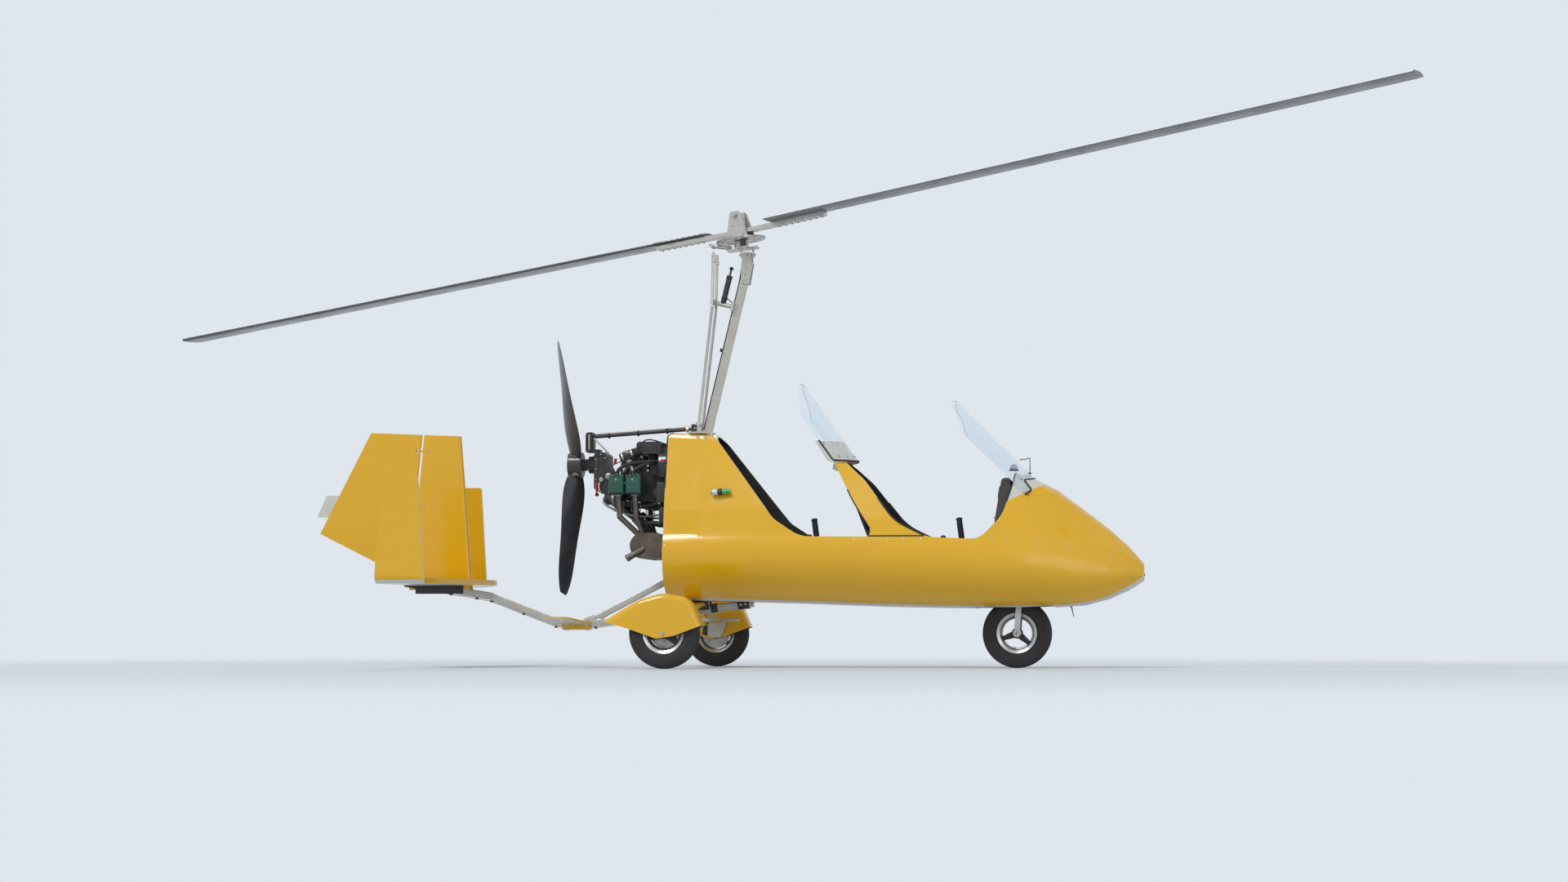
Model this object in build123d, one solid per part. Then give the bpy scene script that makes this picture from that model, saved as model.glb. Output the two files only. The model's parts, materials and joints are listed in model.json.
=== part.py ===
"""Two-seat open gyrocopter standing on its three wheels.

Millimetres. X forward, Y to port, Z up, origin on the ground under the rotor's teeter bolt.
"""
import math
import os

from build123d import *

os.makedirs("parts", exist_ok=True)


def save(name, shape):
    """Write one named solid."""
    shape.label = name
    export_step(shape, f"parts/{name}.step")
    print(name, round(shape.volume / 1000), "cm3", "solids", len(shape.solids()))


def block(size, centre, turn=(0, 0, 0)):
    """Box with its centre at a place, turned about it in degrees."""
    return Pos(*centre) * Rot(*turn) * Box(*size)


def rod(start, end, radius, bore=0):
    """Round bar or tube between two points."""
    span = Vector(*end) - Vector(*start)
    plane = Plane(origin=start, z_dir=span)
    bar = Cylinder(radius, span.length, align=(Align.CENTER, Align.CENTER, Align.MIN))
    if bore:
        bar -= Cylinder(bore, span.length, align=(Align.CENTER, Align.CENTER, Align.MIN))
    return plane * bar


def ring_y(radius, y_low, y_high, centre=(0, 0), bore=0):
    """Disc or ring about an axis along Y."""
    x, z = centre
    return rod((x, y_low, z), (x, y_high, z), radius, bore)


def outline(corners):
    """Closed wire of straight runs and arcs from rows of u, v, corner radius."""
    ends = []
    count = len(corners)
    for index, (u, v, radius) in enumerate(corners):
        here = Vector(u, v)
        back = (Vector(*corners[index - 1][:2]) - here).normalized()
        ahead = (Vector(*corners[(index + 1) % count][:2]) - here).normalized()
        if not radius:
            ends.append((here, None, here))
            continue
        half = math.radians(back.get_angle(ahead)) / 2
        reach = radius / math.tan(half)
        middle = here + (back + ahead).normalized() * (radius / math.sin(half) - radius)
        ends.append((here + back * reach, middle, here + ahead * reach))
    edges = []
    for index, (start, middle, stop) in enumerate(ends):
        if middle is not None:
            edges.append(ThreePointArc(start, middle, stop))
        following = ends[(index + 1) % count][0]
        if (following - stop).length > 0.01:
            edges.append(Line(stop, following))
    return Wire([item.edge() for item in edges])


def side_prism(corners, y_low, y_high):
    """Prism along Y of an outline in X and Z."""
    plane = Plane(origin=(0, y_high, 0), x_dir=(1, 0, 0), z_dir=(0, -1, 0))
    return extrude(plane * make_face(outline(corners)), amount=y_high - y_low)


def plan_prism(corners, z_low, z_high):
    """Prism along Z of an outline in X and Y."""
    plane = Plane(origin=(0, 0, z_low))
    return extrude(plane * make_face(outline(corners)), amount=z_high - z_low)


def front_prism(corners, x_low, x_high):
    """Prism along X of an outline in Y and Z."""
    plane = Plane(origin=(x_low, 0, 0), x_dir=(0, 1, 0), z_dir=(1, 0, 0))
    return extrude(plane * make_face(outline(corners)), amount=x_high - x_low)


def mirrored(shape):
    """The same piece on the other side of the middle plane."""
    return shape.mirror(Plane.XZ)


# Wheels and rotor, measured from the photograph
MAIN_AXLE_X = -280
MAIN_AXLE_Y = 850
NOSE_AXLE_X = 1677
TYRE_R = 205
TYRE_W = 100
RIM_R = 112
TEETER_Z = 2730
PIVOT = (56, 0, TEETER_Z - 238)
REAR_CUT_X = -395
WALL = 14
COVER_Z = 1406

# Fuselage sections. Columns: x, z of the floor, half width of the flat floor, widest half width and
# its z, crease half width and its z, crown edge half width and its z, z of the crown.
HULL = (
    (2425, 512, 12, 44, 562, 39, 588, 22, 603, 612),
    (2330, 452, 30, 116, 608, 98, 666, 52, 704, 722),
    (2080, 368, 60, 228, 662, 200, 742, 98, 896, 930),
    (1740, 352, 85, 318, 718, 291, 808, 150, 1102, 1142),
    (1250, 354, 100, 365, 755, 338, 862, 190, 1160, 1200),
    (700, 370, 100, 376, 775, 350, 890, 205, 1192, 1236),
    (100, 392, 100, 362, 790, 338, 930, 205, 1342, 1386),
    (-410, 400, 95, 325, 790, 308, 930, 198, 1376, 1412),
)


def hull_section(row, inset=0.0):
    """One closed section: flat floor, round bilge, straight sides with a crease, arched crown."""
    x, z_floor, w_floor, w_wide, z_wide, w_crease, z_crease, w_crown, z_edge, z_crown = row
    z_floor += inset
    w_wide -= inset
    w_crease -= inset
    w_crown -= inset * 0.8
    z_edge -= inset
    z_crown -= inset
    rise = z_wide - z_floor
    radius = ((w_wide - w_floor) ** 2 + rise**2) / (2 * rise)
    last = math.atan2(z_wide - z_floor - radius, w_wide - w_floor)
    half = (last - math.pi / 2) / 2
    mid_y = w_floor + radius * math.cos(half)
    mid_z = z_floor + radius + radius * math.sin(half)
    edges = [
        ThreePointArc((w_floor, z_floor), (mid_y, mid_z), (w_wide, z_wide)),
        Line((w_wide, z_wide), (w_crease, z_crease)),
        Line((w_crease, z_crease), (w_crown, z_edge)),
        ThreePointArc((w_crown, z_edge), (0, z_crown), (-w_crown, z_edge)),
        Line((-w_crown, z_edge), (-w_crease, z_crease)),
        Line((-w_crease, z_crease), (-w_wide, z_wide)),
        ThreePointArc((-w_wide, z_wide), (-mid_y, mid_z), (-w_floor, z_floor)),
        Line((-w_floor, z_floor), (w_floor, z_floor)),
    ]
    plane = Plane(origin=(x, 0, 0), x_dir=(0, 1, 0), z_dir=(1, 0, 0))
    return plane * make_face(Wire([edge.edge() for edge in edges]))


def blended(table, x):
    """Row of the table at any x: each column runs smoothly through its values, without overshoot."""
    xs = [row[0] for row in table]
    index = next((i for i in range(len(xs) - 2) if x >= xs[i + 1]), len(xs) - 2)
    step = xs[index + 1] - xs[index]
    t = (x - xs[index]) / step
    row = [x]
    for column in range(1, len(table[0])):
        values = [item[column] for item in table]
        chords = [(values[i + 1] - values[i]) / (xs[i + 1] - xs[i]) for i in range(len(xs) - 1)]
        slopes = []
        for place in (index, index + 1):
            before = chords[max(place - 1, 0)]
            after = chords[min(place, len(chords) - 1)]
            slopes.append(0.0 if before * after <= 0 else 2 * before * after / (before + after))
        low, high = values[index], values[index + 1]
        row.append(
            low * (1 + 2 * t) * (1 - t) ** 2
            + slopes[0] * step * t * (1 - t) ** 2
            + high * t * t * (3 - 2 * t)
            + slopes[1] * step * t * t * (t - 1)
        )
    return tuple(row)


STATIONS = (2425, 2385, 2330, 2220, 2080, 1920, 1740, 1500, 1250, 975, 700, 400, 100, -155, -410)
outer = loft([hull_section(blended(HULL, x)) for x in STATIONS], ruled=True)
inner = loft([hull_section(blended(HULL, x), WALL) for x in STATIONS[1:]], ruled=True)
shell = outer - inner - block((100, 900, 1200), (REAR_CUT_X - 50, 0, 900))

# Side view of the two cockpit openings. Columns: x, z, corner radius.
FRONT_OPENING = (
    (1180, 764, 250),
    (1480, 752, 110),
    (1610, 890, 220),
    (1672, 1100, 0),
    (1700, 1500, 0),
    (560, 1500, 0),
    (650, 1244, 0),
    (800, 1105, 300),
    (985, 860, 300),
)
REAR_OPENING = (
    (835, 768, 25),
    (846, 812, 30),
    (735, 983, 300),
    (606, 1228, 0),
    (540, 1500, 0),
    (-200, 1500, 0),
    (-97, 1362, 60),
    (270, 877, 160),
    (430, 772, 200),
)
front_cut = side_prism(FRONT_OPENING, -500, 500)
rear_cut = side_prism(REAR_OPENING, -500, 500)
body = shell - front_cut - rear_cut

# Nose wheel well and the slot for keel tube and landing gear in the floor
WELL = (1425, 1915, 140)
WELL_TOP = 2 * TYRE_R + 60
WELL_SIDE = ((WELL[0], 300, 0), (WELL[1], 300, 0), (WELL[1] - 30, WELL_TOP, 60), (WELL[0] + 60, WELL_TOP, 60))
well_cut = side_prism(WELL_SIDE, -WELL[2], WELL[2])
SLOT_FRONT = 310
keel_slot = block((760, 150, 80), (SLOT_FRONT - 380, 0, 400))
MAST_X = -200
mast_hole = block((76, 54, 120), (MAST_X + 10, 0, 1390))
body = body - well_cut - keel_slot - mast_hole

# Mid arch: the slanted hoop between the cockpits, cut off along its foot seam
SEAM_Z = 772
ARCH_BOX = ((600, 1400, 0), (520, 1400, 0), (700, SEAM_Z, 0), (1215, SEAM_Z, 0), (1215, 1400, 0))
arch_box = side_prism(ARCH_BOX, -500, 500)
cockpit_arch = body & arch_box
body = body - arch_box
save("cockpit_arch", cockpit_arch)

# Nose cowl: everything forward of the front cockpit above the crease; its rear top is a pale fairing
NOSE_SEAM = ((1400, 800, 0), (2470, 574, 0), (2500, 1400, 0), (1400, 1400, 0))
nose_box = side_prism(NOSE_SEAM, -500, 500)
nose = body & nose_box
body = body - nose_box
FAIRING_BOX = ((1560, 940, 0), (1940, 1124, 0), (1940, 1300, 0), (1560, 1300, 0))
fairing_box = side_prism(FAIRING_BOX, -400, 400)
windshield_fairing = nose & fairing_box
nose_cowl = nose - fairing_box
save("nose_cowl", nose_cowl)
save("windshield_fairing", windshield_fairing)

# Engine side panels with a round upper front corner
PANEL = ((-420, 470, 0), (-185, 470, 0), (-185, 1070, 190), (-420, 1070, 0))
for side, y_low, y_high in (("right", -500, -200), ("left", 200, 500)):
    panel_box = side_prism(PANEL, y_low, y_high)
    save(f"side_panel_{side}", body & panel_box)
    body = body - panel_box

fuselage = body.solids().sort_by(SortBy.VOLUME)[-1]
save("fuselage", fuselage)

# Firewall between the cockpit and the engine, and the bulkhead's black face behind the yellow edge
hull_inside = loft([hull_section(blended(HULL, x), WALL + 0.5) for x in STATIONS[1:]], ruled=True)
firewall = hull_inside & block((8, 900, 1200), (REAR_CUT_X + 40, 0, 900))
save("firewall", firewall)

# Nose wheel well: a black box open at the bottom, with the steering bearing tube through its roof
STEER_X = 1700
STEER_Z_LOW = WELL_TOP
WELL_OUTSIDE = (
    (WELL[0] - 6, 366, 0),
    (WELL[1] + 6, 374, 0),
    (WELL[1] - 24, WELL_TOP + 6, 62),
    (WELL[0] + 54, WELL_TOP + 6, 62),
)
well_outside = side_prism(WELL_OUTSIDE, -WELL[2] - 6, WELL[2] + 6)
well_inside = side_prism(WELL_SIDE, -WELL[2], WELL[2])
wheel_well = well_outside - well_inside - rod((STEER_X, 0, 400), (STEER_X, 0, 600), 28)
wheel_well = (wheel_well & hull_inside).solids().sort_by(SortBy.VOLUME)[-1]
save("wheel_well", wheel_well)
steering_tube = rod((STEER_X, 0, STEER_Z_LOW - 6), (STEER_X, 0, STEER_Z_LOW + 170), 28, 16)
save("steering_tube", steering_tube)

# Black channel that closes the keel slot towards the cockpit
belly_channel = block((SLOT_FRONT + 354, 162, 80), (SLOT_FRONT / 2 - 171, 0, 426))
belly_channel = belly_channel - keel_slot - block((800, 150, 80), (-70, 0, 420))
belly_channel = (belly_channel & hull_inside) - block((52, 46, 200), (MAST_X, 0, 460))
save("belly_channel", belly_channel.solids().sort_by(SortBy.VOLUME)[-1])

# Windshields: a sheet bent about the slant line, trimmed to a rounded shield in front view.
# Columns: name, base x and z, top x and z, bend radius, thickness, shield outline in Y and Z
FRONT_SHIELD = (
    (-198, 960, 0),
    (198, 960, 0),
    (205, 1400, 120),
    (115, 1588, 105),
    (-115, 1588, 105),
    (-205, 1400, 120),
)
REAR_SHIELD = (
    (-200, 1229, 0),
    (200, 1229, 0),
    (200, 1500, 120),
    (110, 1701, 100),
    (-110, 1701, 100),
    (-200, 1500, 120),
)
FRAME_SHIELD = ((-206, 1200, 0), (206, 1200, 0), (200, 1345, 0), (-200, 1345, 0))
WINDSHIELDS = (
    ("windshield_front", (1775, 1130), (1325, 1588), 260, 4, FRONT_SHIELD),
    ("windshield_rear", (718, 1252), (399, 1701), 252, 4, REAR_SHIELD),
    ("rear_screen_frame", (718, 1252), (399, 1701), 248, 12, FRAME_SHIELD),
)
for name, base, top, bend, thick, shield in WINDSHIELDS:
    base_point = Vector(base[0], 0, base[1])
    slant = (Vector(top[0], 0, top[1]) - base_point).normalized()
    length = (Vector(top[0], 0, top[1]) - base_point).length
    back = Vector(-slant.Z, 0, slant.X)
    plane = Plane(origin=base_point - slant * 60, x_dir=(0, 1, 0), z_dir=slant)
    centre_side = 1 if plane.y_dir.X < 0 else -1
    reach = 252 if name == "rear_screen_frame" else bend
    bend_axis = Pos(0, centre_side * reach, 0)
    ring = Cylinder(bend, length + 60, align=(Align.CENTER, Align.CENTER, Align.MIN))
    ring -= Cylinder(bend - thick, length + 60, align=(Align.CENTER, Align.CENTER, Align.MIN))
    sheet = plane * (bend_axis * ring)
    sheet = sheet & front_prism(shield, top[0] - 300, base[0] + 60)
    sheet = sheet - outer
    sheet = sheet.solids().sort_by(SortBy.VOLUME)[-1]
    save(name, sheet)

# Instrument binnacle under the front cowl's rear edge
panel = side_prism(((1560, 800, 10), (1640, 800, 10), (1655, 1120, 15), (1600, 1120, 25)), -300, 300)
instrument_panel = (panel & hull_inside).solids()[0]
save("instrument_panel", instrument_panel)

# Seats. Columns: name, x of the hip line, hip z, top of the back x and z, front edge x and z
SEATS = (
    ("front", (940, 470), (700, 1090), (1300, 520), 210),
    ("rear", (60, 490), (-130, 1200), (430, 540), 200),
)
for name, hip, head, knee, half in SEATS:
    seat = side_prism((
        (knee[0], knee[1], 0),
        (knee[0], knee[1] - 12, 0),
        (hip[0] - 8, hip[1] - 12, 60),
        (head[0] - 12, head[1], 0),
        (head[0], head[1] + 4, 0),
        (hip[0], hip[1], 50),
    ), -half, half)
    for sign in (-1, 1):
        rib_x = (knee[0] + hip[0]) / 2 + 20
        seat += block((knee[0] - hip[0] - 60, 14, 200), (rib_x, sign * (half - 40), hip[1] - 95))
    seat -= shell
    seat = seat - side_prism((
        (knee[0] + 100, knee[1] + 16, 0),
        (hip[0], hip[1], 50),
        (head[0], head[1] + 4, 0),
        (head[0] + 300, head[1] + 300, 0),
        (knee[0] + 100, head[1] + 300, 0),
    ), -half, half)
    seat = seat.solids().sort_by(SortBy.VOLUME)[-1]
    save(f"seat_{name}", seat)
    run = Vector(knee[0] - hip[0], knee[1] - hip[1]).normalized()
    rise = Vector(head[0] - hip[0], head[1] + 4 - hip[1]).normalized()
    corner = Vector(hip[0] + 0.4, hip[1] + 0.4)
    front = corner + run * (knee[0] - hip[0] - 12)
    top = corner + rise * (head[1] - hip[1] - 30)
    over = Vector(-run.Y, run.X)
    ahead_of = Vector(rise.Y, -rise.X)
    cushion_points = (
        (front.X, front.Y, 8),
        (corner.X, corner.Y, 50),
        (top.X, top.Y, 8),
        ((top + ahead_of * 40).X, (top + ahead_of * 40).Y, 18),
        ((corner + ahead_of * 55 + over * 62).X, (corner + ahead_of * 55 + over * 62).Y, 70),
        ((front + over * 48).X, (front + over * 48).Y, 22),
    )
    save(f"cushion_{name}", side_prism(cushion_points, -half + 15, half - 15))
    stick_x = knee[0] + 90
    stick_z = blended(HULL, stick_x)[1] + WALL
    stick = rod((stick_x, 0, stick_z + 6), (stick_x - 40, 0, 760), 11)
    stick += rod((stick_x - 40, 0, 760), (stick_x - 55, 0, 880), 17)
    stick += rod((stick_x, 0, stick_z), (stick_x, 0, stick_z + 30), 30)
    save(f"stick_{name}", stick - shell)

# Position lamps on the fuselage sides
for side, sign in (("right", -1), ("left", 1)):
    lamp = rod((-104, sign * 322, 1036), (6, sign * 322, 1044), 16)
    lamp += rod((-30, sign * 260, 1040), (-30, sign * 322, 1040), 10)
    save(f"lamp_{side}", (lamp - outer).solids().sort_by(SortBy.VOLUME)[-1])

# Keel: square tube, bent twice, with a diagonal brace up to the engine frame
KEEL = ((95, 386), (-890, 264), (-1090, 264), (-1530, 432), (-2066, 517))
KEEL_SIDE = 44
BRACE_SIDE = 35
bottom = (Align.CENTER, Align.CENTER, Align.MIN)


def beam(start, end, side):
    """Square tube with rounded corners between two points of the middle plane."""
    lean = math.degrees(math.atan2(end[0] - start[0], end[1] - start[1]))
    bar = Box(side, side, math.dist(start, end), align=bottom)
    bar = fillet(bar.edges().filter_by(Axis.Z), 5)
    return Pos(start[0], 0, start[1]) * Rot(0, lean, 0) * bar


def bent_beam(points, side):
    """Square tube through the points, with a round turn at each bend."""
    bar = beam(points[0], points[1], side)
    for start, end in zip(points[1:-1], points[2:]):
        bar += ring_y(side / 2, -side / 2, side / 2, start)
        bar += beam(start, end, side)
    return bar


keel = bent_beam(KEEL, KEEL_SIDE) + beam((-920, 270), (-400, 536), BRACE_SIDE)
save("keel_frame", keel - fuselage)

# Mast: leaning rectangular tube on a foot that stands on the keel, with two cheeks for the head's pin
MAST_FOOT = (MAST_X, 1350)
MAST_TOP = (PIVOT[0] + 11, PIVOT[2] - 40)
MAST_DEEP = 46
MAST_WIDE = 42
lean = math.degrees(math.atan2(MAST_TOP[0] - MAST_FOOT[0], MAST_TOP[1] - MAST_FOOT[1]))
mast_length = math.hypot(MAST_TOP[0] - MAST_FOOT[0], MAST_TOP[1] - MAST_FOOT[1])
mast = Box(MAST_DEEP, MAST_WIDE, mast_length, align=bottom)
mast = Pos(MAST_FOOT[0], 0, MAST_FOOT[1]) * Rot(0, lean, 0) * mast
mast += Pos(MAST_FOOT[0], 0, 340) * Box(MAST_DEEP, MAST_WIDE, 1020, align=bottom)
CHEEK = ((-36, -172, 8), (14, -184, 8), (36, -60, 0), (24, 13, 10), (-20, 13, 10), (-34, -60, 0))
for sign in (-1, 1):
    cheek_y = sign * (MAST_WIDE / 2 + 4)
    corners = [(PIVOT[0] + x, PIVOT[2] + z, radius) for x, z, radius in CHEEK]
    mast += side_prism(corners, cheek_y - 4, cheek_y + 4)
mast -= rod((PIVOT[0], -60, PIVOT[2]), (PIVOT[0], 60, PIVOT[2]), 6.3)
mast += block((130, 154, 12), (MAST_X - 26, 0, COVER_Z + 6)) - outer
mast = mast - keel
save("mast", mast)

# Arm behind the mast with the trim cylinder on it, and the two control rods
along = Vector(MAST_TOP[0] - MAST_FOOT[0], 0, MAST_TOP[1] - MAST_FOOT[1]).normalized()


def on_mast(height, behind=0.0, y=0.0):
    """Point on the mast's centre line at a height, moved square to it towards the tail."""
    point = Vector(MAST_FOOT[0], 0, MAST_FOOT[1]) + along * ((height - MAST_FOOT[1]) / along.Z)
    point += Vector(-along.Z, 0, along.X) * behind
    return (point.X, y, point.Z)


ARM_Z = PIVOT[2] - 322
mast_arm = rod(on_mast(ARM_Z, 22), on_mast(ARM_Z, 158), 14)
mast_arm += block((24, 114, 26), on_mast(ARM_Z, 152), (0, lean, 0))
mast_arm += block((14, 90, 60), on_mast(ARM_Z, MAST_DEEP / 2 + 6.8), (0, lean, 0))
trim_cylinder = rod(on_mast(ARM_Z + 6, 96), on_mast(ARM_Z + 175, 96), 17)
trim_cylinder += rod(on_mast(ARM_Z + 175, 96), on_mast(ARM_Z + 215, 96), 6)
trim_cylinder -= mast_arm
mast_arm -= mast
save("mast_arm", mast_arm)
save("trim_cylinder", trim_cylinder)
for side, sign in (("right", -1), ("left", 1)):
    low = (MAST_X - 34, sign * 66, COVER_Z + 10)
    middle = (PIVOT[0] - 206, sign * 66, ARM_Z - 5)
    high = (PIVOT[0] - 198, sign * 66, PIVOT[2] + 13)
    control_rod = rod(low, middle, 9) + rod(middle, high, 9) + Pos(*middle) * Sphere(10)
    save(f"control_rod_{side}", control_rod - mast_arm - mast)

# Main landing gear: one sprung bow. Columns: y, set back, z, chord, thickness
BOW = (
    (-762, 20, 284, 58, 26),
    (-420, 10, 332, 84, 28),
    (-110, 0, 377, 118, 30),
    (110, 0, 377, 118, 30),
    (420, 10, 332, 84, 28),
    (762, 20, 284, 58, 26),
)
GEAR_X = -245
sections = []
for y, back, z, chord, thick in BOW:
    plane = Plane(origin=(GEAR_X - back, y, z), x_dir=(1, 0, 0), z_dir=(0, 1, 0))
    half = thick / 2
    reach = chord / 2
    flat = reach - half
    sections.append(plane * make_face(Wire([
        Line((-flat, -half), (flat, -half)).edge(),
        ThreePointArc((flat, -half), (reach, 0), (flat, half)).edge(),
        Line((flat, half), (-flat, half)).edge(),
        ThreePointArc((-flat, half), (-reach, 0), (-flat, -half)).edge(),
    ])))
gear_bow = loft(sections, ruled=True) - keel - mast - fuselage
gear_bow = gear_bow.solids().sort_by(SortBy.VOLUME)[-1]
save("gear_bow", gear_bow)


def wheel_parts(centre):
    """Tyre and rim of one wheel: tyre with a rounded crown, rim with a ring, three spokes and a hub."""
    x, y, z = centre
    half = TYRE_W / 2
    profile = (
        (RIM_R, -half + 14, 0),
        (RIM_R + 16, -half, 0),
        (TYRE_R - 42, -half, 22),
        (TYRE_R, -half + 18, 30),
        (TYRE_R, half - 18, 30),
        (TYRE_R - 42, half, 22),
        (RIM_R + 16, half, 0),
        (RIM_R, half - 14, 0),
    )
    plane = Plane(origin=(x, y, z), x_dir=(1, 0, 0), z_dir=(0, 0, 1))
    tyre = revolve(plane * make_face(outline(profile)), Axis((x, y, z), (0, 1, 0)), 360)
    rim_profile = (
        (RIM_R - 12, -half + 8, 0),
        (RIM_R, -half + 8, 0),
        (RIM_R, half - 8, 0),
        (RIM_R - 12, half - 8, 0),
        (RIM_R - 22, 16, 0),
        (RIM_R - 22, -16, 0),
    )
    rim = revolve(plane * make_face(outline(rim_profile)), Axis((x, y, z), (0, 1, 0)), 360)
    rim += ring_y(32, y - 40, y + 40, (x, z))
    for index in range(3):
        spoke = Pos(x, y, z) * Rot(0, index * 120 + 40, 0) * Pos(57, 0, 0) * Box(74, 26, 34)
        rim += spoke
    rim -= ring_y(12.4, y - 60, y + 60, (x, z))
    return tyre, rim


for name, centre in (
    ("main_right", (MAIN_AXLE_X, -MAIN_AXLE_Y, TYRE_R)),
    ("main_left", (MAIN_AXLE_X, MAIN_AXLE_Y, TYRE_R)),
    ("nose", (NOSE_AXLE_X, 0, TYRE_R)),
):
    tyre, rim = wheel_parts(centre)
    save(f"tyre_{name}", tyre)
    save(f"rim_{name}", rim)

# Axle plates with their stub axles, and the mudguards bolted to them
AXLE_PLATE = (
    (-322, 262, 14),
    (-326, 180, 30),
    (-240, 180, 30),
    (-206, 262, 14),
    (-206, 306, 8),
    (-284, 306, 8),
)
axle_plate = side_prism(AXLE_PLATE, 762, 775)
axle_plate += rod((MAIN_AXLE_X, 770, TYRE_R), (MAIN_AXLE_X, 926, TYRE_R), 12)
axle_plate += rod((MAIN_AXLE_X, 775, TYRE_R), (MAIN_AXLE_X, 806, TYRE_R), 20)
save("axle_plate_left", axle_plate)
save("axle_plate_right", mirrored(axle_plate))


GUARD_GAP = 23
GUARD_R = TYRE_R + GUARD_GAP


def guard_outline(inset, drop):
    """Side view of a mudguard about the axle: round over the tyre, drawn out to a tip at the rear."""
    points = [
        (-1.535 * GUARD_R + inset * 3, 0.298 * GUARD_R, 0),
        (-0.658 * GUARD_R, 0.825 * GUARD_R - inset, 160),
        (-10, GUARD_R - inset, 190),
        (0.675 * GUARD_R, 0.886 * GUARD_R - inset, 120),
        (0.982 * GUARD_R - inset, 42, 0),
    ]
    if drop:
        points += [(points[-1][0], -60, 0), (points[0][0], -60, 0)]
    else:
        points += [(60, -18, 20), (-40, -32, 40), (-190, 20, 60)]
    return [(MAIN_AXLE_X + x, TYRE_R + z, radius) for x, z, radius in points]


def rounded_crown(prism, radius):
    """Mudguard prism with its two upper side edges rounded."""
    side_edges = [edge for edge in prism.edges() if edge.bounding_box().size.Y < 1]
    return fillet([edge for edge in side_edges if edge.center().Z > TYRE_R + 85], radius)


guard = rounded_crown(side_prism(guard_outline(0, False), 779, 920), 34)
guard_hollow = rounded_crown(side_prism(guard_outline(5, True), 784, 915), 29)
mudguard = guard - guard_hollow
mudguard -= ring_y(20, 770, 800, (MAIN_AXLE_X, TYRE_R))
mudguard -= ring_y(12, 890, 930, (MAIN_AXLE_X, TYRE_R))
save("mudguard_left", mudguard)
save("mudguard_right", mirrored(mudguard))

# Nose fork: spindle in the bearing tube, crown, two legs and the axle
CROWN_Z = 2 * TYRE_R + 30
fork = rod((STEER_X, 0, CROWN_Z), (STEER_X, 0, STEER_Z_LOW + 185), 15)
fork += block((56, 148, 20), (STEER_X - 3, 0, CROWN_Z))
FORK_LEG = ((1660, TYRE_R - 21, 16), (1694, TYRE_R - 21, 16), (1714, CROWN_Z - 4, 0), (1680, CROWN_Z - 4, 0))
for sign in (-1, 1):
    fork += side_prism(FORK_LEG, sign * 68 - 6, sign * 68 + 6)
fork += ring_y(12, -78, 78, (NOSE_AXLE_X, TYRE_R), 6)
fork -= ring_y(6, -90, 90, (NOSE_AXLE_X, TYRE_R))
save("nose_fork", fork)

# Tail. Stabiliser: one U of a swept level plane and two upright end plates
STAB_Z = 512
HALF_SPAN = 740
LEVEL = (
    (-1500, -40, 0),
    (-1500, 40, 0),
    (-1745, HALF_SPAN - 50, 0),
    (-2040, HALF_SPAN - 50, 0),
    (-2040, -HALF_SPAN + 50, 0),
    (-1745, -HALF_SPAN + 50, 0),
)
level = plan_prism(LEVEL, STAB_Z - 16, STAB_Z + 16)
PLATE = (
    (-2037, STAB_Z + 59, 0),
    (-1749, STAB_Z + 59, 0),
    (-1785, STAB_Z + 620, 12),
    (-2004, STAB_Z + 620, 12),
)
PLATE_AND_ELBOW = (
    (-2040, STAB_Z - 17, 0),
    (-1745, STAB_Z - 17, 0),
    (-1749, STAB_Z + 61, 0),
    (-2037, STAB_Z + 61, 0),
)
plates = None
for sign in (-1, 1):
    inside = sign * (HALF_SPAN - 28)
    outside = sign * (HALF_SPAN - 2)
    plate = side_prism(PLATE, min(inside, outside), max(inside, outside))
    elbow = (
        (sign * (HALF_SPAN - 52), STAB_Z - 16, 0),
        (outside, STAB_Z - 16, 50),
        (outside, STAB_Z + 60, 0),
        (inside, STAB_Z + 60, 0),
        (inside, STAB_Z + 16, 24),
        (sign * (HALF_SPAN - 52), STAB_Z + 16, 0),
    )
    corner = front_prism(elbow, -2040, -1740) & side_prism(PLATE_AND_ELBOW, -HALF_SPAN, HALF_SPAN)
    plates = plate + corner if plates is None else plates + plate + corner
stabiliser = level + plates
HINGE_LOW = (-2062, 540)
HINGE_HIGH = (-1975, 1440)


def foil(x_front, x_rear, thick_front, thick_rear, z):
    """Level section with a round nose and straight sides down to a blunt rear edge."""
    nose = thick_front / 2
    plane = Plane(origin=(0, 0, z))
    return plane * make_face(Wire([
        Line((x_front - nose, nose), (x_rear, thick_rear / 2)).edge(),
        Line((x_rear, thick_rear / 2), (x_rear, -thick_rear / 2)).edge(),
        Line((x_rear, -thick_rear / 2), (x_front - nose, -nose)).edge(),
        ThreePointArc((x_front - nose, -nose), (x_front, 0), (x_front - nose, nose)).edge(),
    ]))


def hinge_x(z):
    """X of the rudder hinge at a height."""
    return HINGE_LOW[0] + (HINGE_HIGH[0] - HINGE_LOW[0]) * (z - HINGE_LOW[1]) / (HINGE_HIGH[1] - HINGE_LOW[1])


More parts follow.
